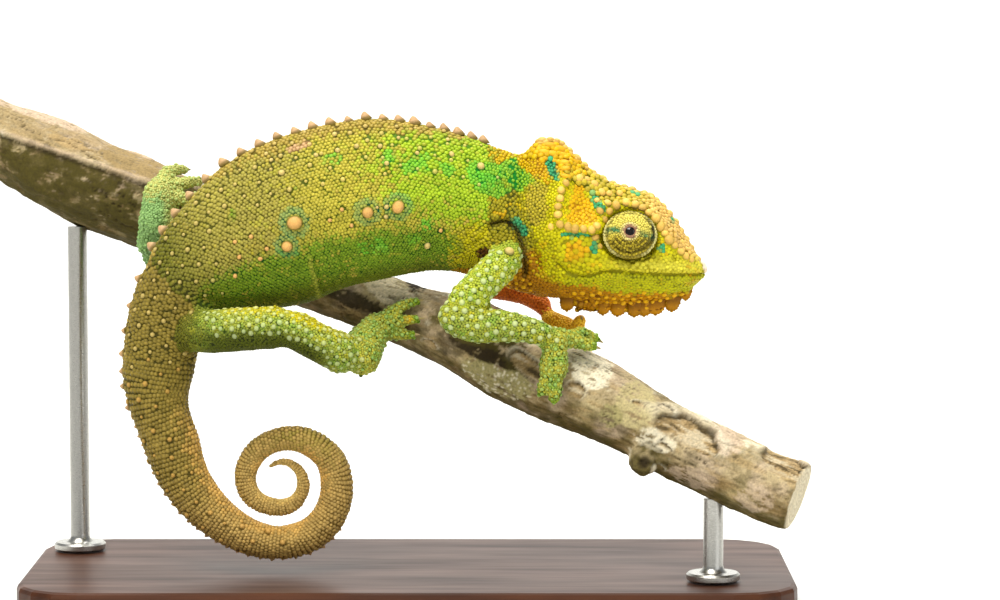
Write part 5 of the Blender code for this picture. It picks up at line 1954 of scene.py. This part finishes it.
def bark_forms(points, normals):
    """The bark's forms at each point of the branch: noise of about -1 to 1, the others 0 to 1."""
    start, end = (np.array(corner) for corner in PERCH_ENDS)
    grain = unit(end - start)
    along = (points - start) @ grain
    off = points - start - along[:, None] * grain

    def grained(length, width, seed, octaves=2):
        """Noise that runs with the grain."""
        places = off / width + (along / length)[:, None] * grain
        return clouds(places, 1.0, seed, octaves)

    edge = 0.30 * clouds(points, 2.8, 9.0, 1)
    front = ramp(-normals[:, 1], -0.3, 0.2)
    ledge_z = level_of(LEDGE, points[:, 0]) + 0.5 * edge
    ledge_here = front * ramp(LEDGE_END_X - points[:, 0], 0, 3)
    knot = np.linalg.norm(points - np.array(KNOT), axis=1)
    stub = 1 - ramp(knot, KNOT_REACH * 0.6, KNOT_REACH)
    flaked, lips, under_lips = flakes(points, edge, front, start, end)
    return SimpleNamespace(
        from_middle=np.linalg.norm(off, axis=1),
        cut=ramp(np.abs(normals @ grain), 0.75, 0.93),
        front=front,
        long_waves=grained(9.0, 1.6, 4.0),
        fine=grained(2.2, 0.5, 5.0, 3),
        cracks=bell(grained(9.0, 1.6, 6.0), 0, 0.035) * ramp(grained(16, 6, 7.0), 0.0, 0.4),
        streak=grained(6.0, 0.9, 10.0),
        fibres=grained(4.0, 0.5, 13.0),
        plates=clouds(points, 2.4, 8.0, 3),
        dots=ramp(clouds(points, 0.55, 33.0), 0.22, 0.42),
        flaked=flaked,
        lips=np.maximum(lips, ledge_here * bell(points[:, 2] - ledge_z, 0.3, 0.35)),
        under_lips=under_lips,
        ledge_here=ledge_here,
        under_ledge=ledge_here * ramp(ledge_z - points[:, 2], 0.0, 0.35),
        ledge_z=ledge_z,
        knot=knot,
        stub=stub,
        rings=np.sin(knot * 6.0 + 9.0 * edge) * stub,
        hole=1 - ramp(knot + 1.2 * edge, 0.5, 1.2),
    )


def flakes(points, edge, front, start, end):
    """Hollows where bark has flaked off, their raised lips, and the shade under those."""
    flaked, lips, under_lips = np.zeros((3, len(points)))
    spots = list(FLAKED)
    for _ in range(FLAKES):
        share = rng.uniform(0.35, 0.97)
        place = start + share * (end - start)
        size = rng.uniform(0.5, 1.1)
        spots.append((place[0], place[2] + rng.uniform(-5, 5), 1.8 * size, 0.8 * size, -25, 0.25))
    for x, z, long, tall, slope, depth in spots:
        one, other = in_ellipse(points, x, z, long, tall, slope)
        reach = np.hypot(one, other) + edge
        upper = ramp(other, -0.8, 0.7)
        hollow = front * depth * (0.3 + 0.7 * upper) * (1 - ramp(reach, 0.86, 0.94))
        flaked = np.maximum(flaked, hollow)
        lips = np.maximum(lips, front * upper * bell(reach, 1.06, 0.13))
        under_lips = np.maximum(under_lips, front * upper * bell(reach, 0.86, 0.08))
    return flaked, lips, under_lips


def bark_colours(points, upward, bark):
    """Colours of the branch's bark and sawn ends, in linear light, with painted light above and painted
    shade below.
    """
    paints = {name: linear(colour) for name, colour in BARK.items()}
    colours = np.tile(paints["brown"], (len(points), 1))
    flaked, fine, plates, streak = bark.flaked, bark.fine, bark.plates, bark.streak

    def lay(name, weight):
        nonlocal colours
        weight = np.clip(weight, 0, 1)[:, None]
        colours = colours + (paints[name] - colours) * weight

    # Lighter on the upper side and darker underneath, over the bark's own patches: painted light and
    # painted shade.
    lay("grey", ramp(0.7 * upward + 0.5 * bark.long_waves + 0.3 * fine, -0.45, 0.35))
    lay("pink", 0.6 * ramp(clouds(points, 6.0, 14.0) + 0.3 * upward, -0.2, 0.5))
    lay("olive", 0.4 * ramp(clouds(points, 7.0, 11.0), 0.0, 0.6))
    lay("cream", 0.7 * ramp(0.5 * upward + 0.9 * plates, 0.55, 0.95))
    lay("shade", 0.45 * ramp(clouds(points, 4.5, 15.0, 3), 0.15, 0.5))
    lay("golden", 0.5 * ramp(streak, 0.25, 0.5))
    lay("deep_shade", 0.85 * ramp(-upward + 0.35 * plates, 0.2, 0.9))
    for name, x, z, long, tall, slope, strength in BARK_MARKS:
        spot = blotch(points, x, z, long, tall, slope) * strength * bark.front
        weight = ramp(spot * (1 + fine + 0.6 * plates), 0.25, 0.6) * strength
        lay(name, weight)
        if name == "lichen":
            lay("cream" if x < LICHEN_DARK_X else "dark", 0.75 * weight * bark.dots)
    # Painted shade under the ledge.
    lay("deep_shade", 0.85 * bark.under_ledge * ramp(plates + 0.3, -0.2, 0.4))
    lay("golden", 0.85 * ramp(flaked, 0.08, 0.25))
    lay("brown", 0.7 * ramp(flaked, 0.1, 0.3) * ramp(fine, 0.0, 0.3))
    lay("dark", 0.8 * ramp(flaked, 0.1, 0.3) * ramp(streak, 0.15, 0.4))
    lay("cream", 0.5 * bark.lips * ramp(points[:, 0], -38, -34))
    lay("pink", 0.6 * bark.lips * ramp(-points[:, 0], 34, 38))
    lay("cream", 0.45 * ramp(flaked, 0.1, 0.3) * ramp(-streak, 0.1, 0.4))
    # Painted shadow just under the ledge and under the flakes' raised lips.
    lay("dark", 0.8 * bark.ledge_here * bell(points[:, 2] - bark.ledge_z, -0.45, 0.3))
    lay("dark", 0.9 * bark.under_lips)
    lay("dark", 0.8 * bark.cracks)
    lay("dark", 0.35 * ramp(-fine, 0.2, 0.5))
    on_knot = 1 - ramp(bark.knot, KNOT_REACH * 0.5, KNOT_REACH)
    lay("shade", 0.9 * on_knot)
    # The knot is painted lighter on its upper side: painted light.
    lay("grey", 0.5 * on_knot * ramp(plates + upward, 0.0, 0.8))
    lay("dark", on_knot * ramp(-bark.rings, 0.3, 0.9) * 0.35)
    # Painted shade in the knot's hole.
    lay("dark", 0.9 * bark.hole)
    lay("cream", bark.cut)
    lay("golden", bark.cut * 0.5 * (0.5 + 0.5 * np.sin(bark.from_middle * 7.0)))
    return colours


def make_perch():
    """The branch: its own solid with grain, cracks, flaked hollows, a knot and sawn ends."""
    points, triangles = remeshed("perch_solid", *node_arrays("perch_branch"), PERCH_VOXEL)
    points = smoothed(points, triangles, np.full(len(points), 0.5), PERCH_ROUNDS)
    normals = point_normals(points, triangles)
    bark = bark_forms(points, normals)
    move = 0.16 * bark.long_waves + 0.07 * bark.fine - 0.34 * bark.cracks + 0.10 * bark.plates
    move += 0.3 * bark.lips - bark.flaked - LEDGE_DEPTH * bark.under_ledge
    move += 0.05 * bark.rings - 0.5 * bark.hole
    move += 0.35 * bark.stub * clouds(points, 1.6, 31.0, 2)
    move += 0.44 * bark.flaked * bark.fibres
    move = move * (1 - bark.cut) + bark.cut * 0.05 * np.sin(bark.from_middle * 9.0)
    points = points + normals * (move - PERCH_SUNK)[:, None]
    perch = mesh_object("perch", points, triangles, BARK_FINISH)
    set_colours(perch, "markings", bark_colours(points, normals[:, 2], bark))
    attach(perch, "root")
    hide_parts("perch_branch")


# ---------------------------------------------------------------------------------------
# Stand

ROD_RADIUS, FLANGE_HEIGHT, ROD_SIDES, ROD_CREASE = 1.5, 1.2, 48, math.radians(40)


def make_rod(name):
    """A turned rod with a flange at its foot, in place of its solid."""
    low, high = (np.array(corner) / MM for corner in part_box(name))
    middle = (low + high) / 2
    flange = (high - low)[0] / 2
    foot, top = low[2], high[2]
    neck = foot + FLANGE_HEIGHT
    profile = (
        (flange - 0.25, foot), (flange, foot + 0.2), (flange, neck - 0.3), (flange - 0.3, neck),
        (ROD_RADIUS + 0.6, neck + 0.05), (ROD_RADIUS + 0.1, neck + 0.5), (ROD_RADIUS, neck + 1.0),
        (ROD_RADIUS, top), (0.0, top),
    )
    form, triangles, _ = lathe_shape(ROD_SIDES, profile)
    form[:, :2] += middle[:2]
    rod = mesh_object(name.replace("stand_", "stand_turned_"), form, triangles, METAL)
    rod.data.set_sharp_from_angle(angle=ROD_CREASE)
    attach(rod, "root")
    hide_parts(name)


# ---------------------------------------------------------------------------------------
# Light, floor and camera

VIEW_TARGET = Vector((0.0138, 0.0, 0.0458))
VIEW_DISTANCE, VIEW_ELEVATION = 0.560, math.radians(5)
FRAME_WIDTH, SENSOR_WIDTH = 0.150, 36.0
# Where each light stands from the target, where it aims, its size, its power in watts, its colour.
LIGHTS = (
    ("key", (-0.30, -0.55, 1.10), (0, 0, 0), 0.8, 21.0, (1.0, 0.97, 0.91)),
    ("fill", (0.95, -0.85, 0.35), (0, 0, 0), 1.0, 3.2, (0.95, 0.98, 1.0)),
    ("rim", (0.25, 0.95, 0.8), (0, 0, 0), 0.8, 2.0, (1.0, 1.0, 1.0)),
    ("backdrop", (0.0, 0.4, 1.3), (0, 1.6, 0.1), 1.0, 24.0, (1.0, 1.0, 1.0)),
)
FLOOR_REACH, SWEEP_START, SWEEP_RADIUS = 2.6, 0.85, 0.6
SURROUND, SURROUND_STRENGTH = (0.86, 0.90, 0.95, 1), 0.36


def make_stage():
    """A pale floor that curves up far behind, four soft lights and a pale surround."""
    bend = [math.radians(angle) for angle in range(0, 91, 6)]
    profile = [(-FLOOR_REACH, 0.0)]
    profile += [
        (SWEEP_START + SWEEP_RADIUS * math.sin(a), SWEEP_RADIUS * (1 - math.cos(a))) for a in bend
    ]
    profile.append((SWEEP_START + SWEEP_RADIUS, FLOOR_REACH))
    mesh = bmesh.new()
    rows = [
        [mesh.verts.new((x, y, z)) for x in (-FLOOR_REACH, FLOOR_REACH)] for y, z in profile
    ]
    for (a, b), (c, d) in zip(rows, rows[1:]):
        mesh.faces.new((a, b, d, c))
    data = bpy.data.meshes.new("floor")
    mesh.to_mesh(data)
    mesh.free()
    data.shade_smooth()
    data.materials.append(FLOOR)
    floor = bpy.data.objects.new("floor", data)
    bpy.context.scene.collection.objects.link(floor)

    for name, place, aim, size, power, colour in LIGHTS:
        light = bpy.data.lights.new(name, "AREA")
        light.size = size
        light.energy = power
        light.color = colour
        lamp = bpy.data.objects.new(name, light)
        lamp.location = VIEW_TARGET + Vector(place)
        lamp.rotation_euler = (Vector(aim) - Vector(place)).to_track_quat("-Z", "Y").to_euler()
        bpy.context.scene.collection.objects.link(lamp)

    world = bpy.data.worlds.new("surround")
    world.use_nodes = True
    background = world.node_tree.nodes["Background"]
    background.inputs["Color"].default_value = SURROUND
    background.inputs["Strength"].default_value = SURROUND_STRENGTH
    bpy.context.scene.world = world
    bpy.context.scene.view_settings.view_transform = "Standard"


def make_camera():
    data = bpy.data.cameras.new("camera")
    data.sensor_width = SENSOR_WIDTH
    data.lens = SENSOR_WIDTH * VIEW_DISTANCE / FRAME_WIDTH
    data.clip_start = 0.01
    camera = bpy.data.objects.new("camera", data)
    back = Vector((0, -math.cos(VIEW_ELEVATION), math.sin(VIEW_ELEVATION)))
    camera.location = VIEW_TARGET + VIEW_DISTANCE * back
    camera.rotation_euler = (math.radians(90) - VIEW_ELEVATION, 0, 0)
    bpy.context.scene.collection.objects.link(camera)
    bpy.context.scene.camera = camera


# ---------------------------------------------------------------------------------------
# The whole

skin = make_skin()
skin_object = mesh_object("skin", skin.points, skin.triangles, SKIN)
# The skin between the scales gets the grooves' colours, which carry painted shade.
set_colours(skin_object, "markings", markings(skin.points, skin.owner, np.zeros(len(skin.points)))[1])
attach(skin_object, "root")
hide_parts(*FLESH)
make_coat(skin, skin_unwrap(skin))
make_eye("right", -1)
make_eye("left", 1)
make_claws()
make_perch()
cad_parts["stand_base"].data.materials.clear()
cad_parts["stand_base"].data.materials.append(WOOD)
for rod_name in ("stand_rod_left", "stand_rod_right"):
    make_rod(rod_name)
make_stage()
make_camera()
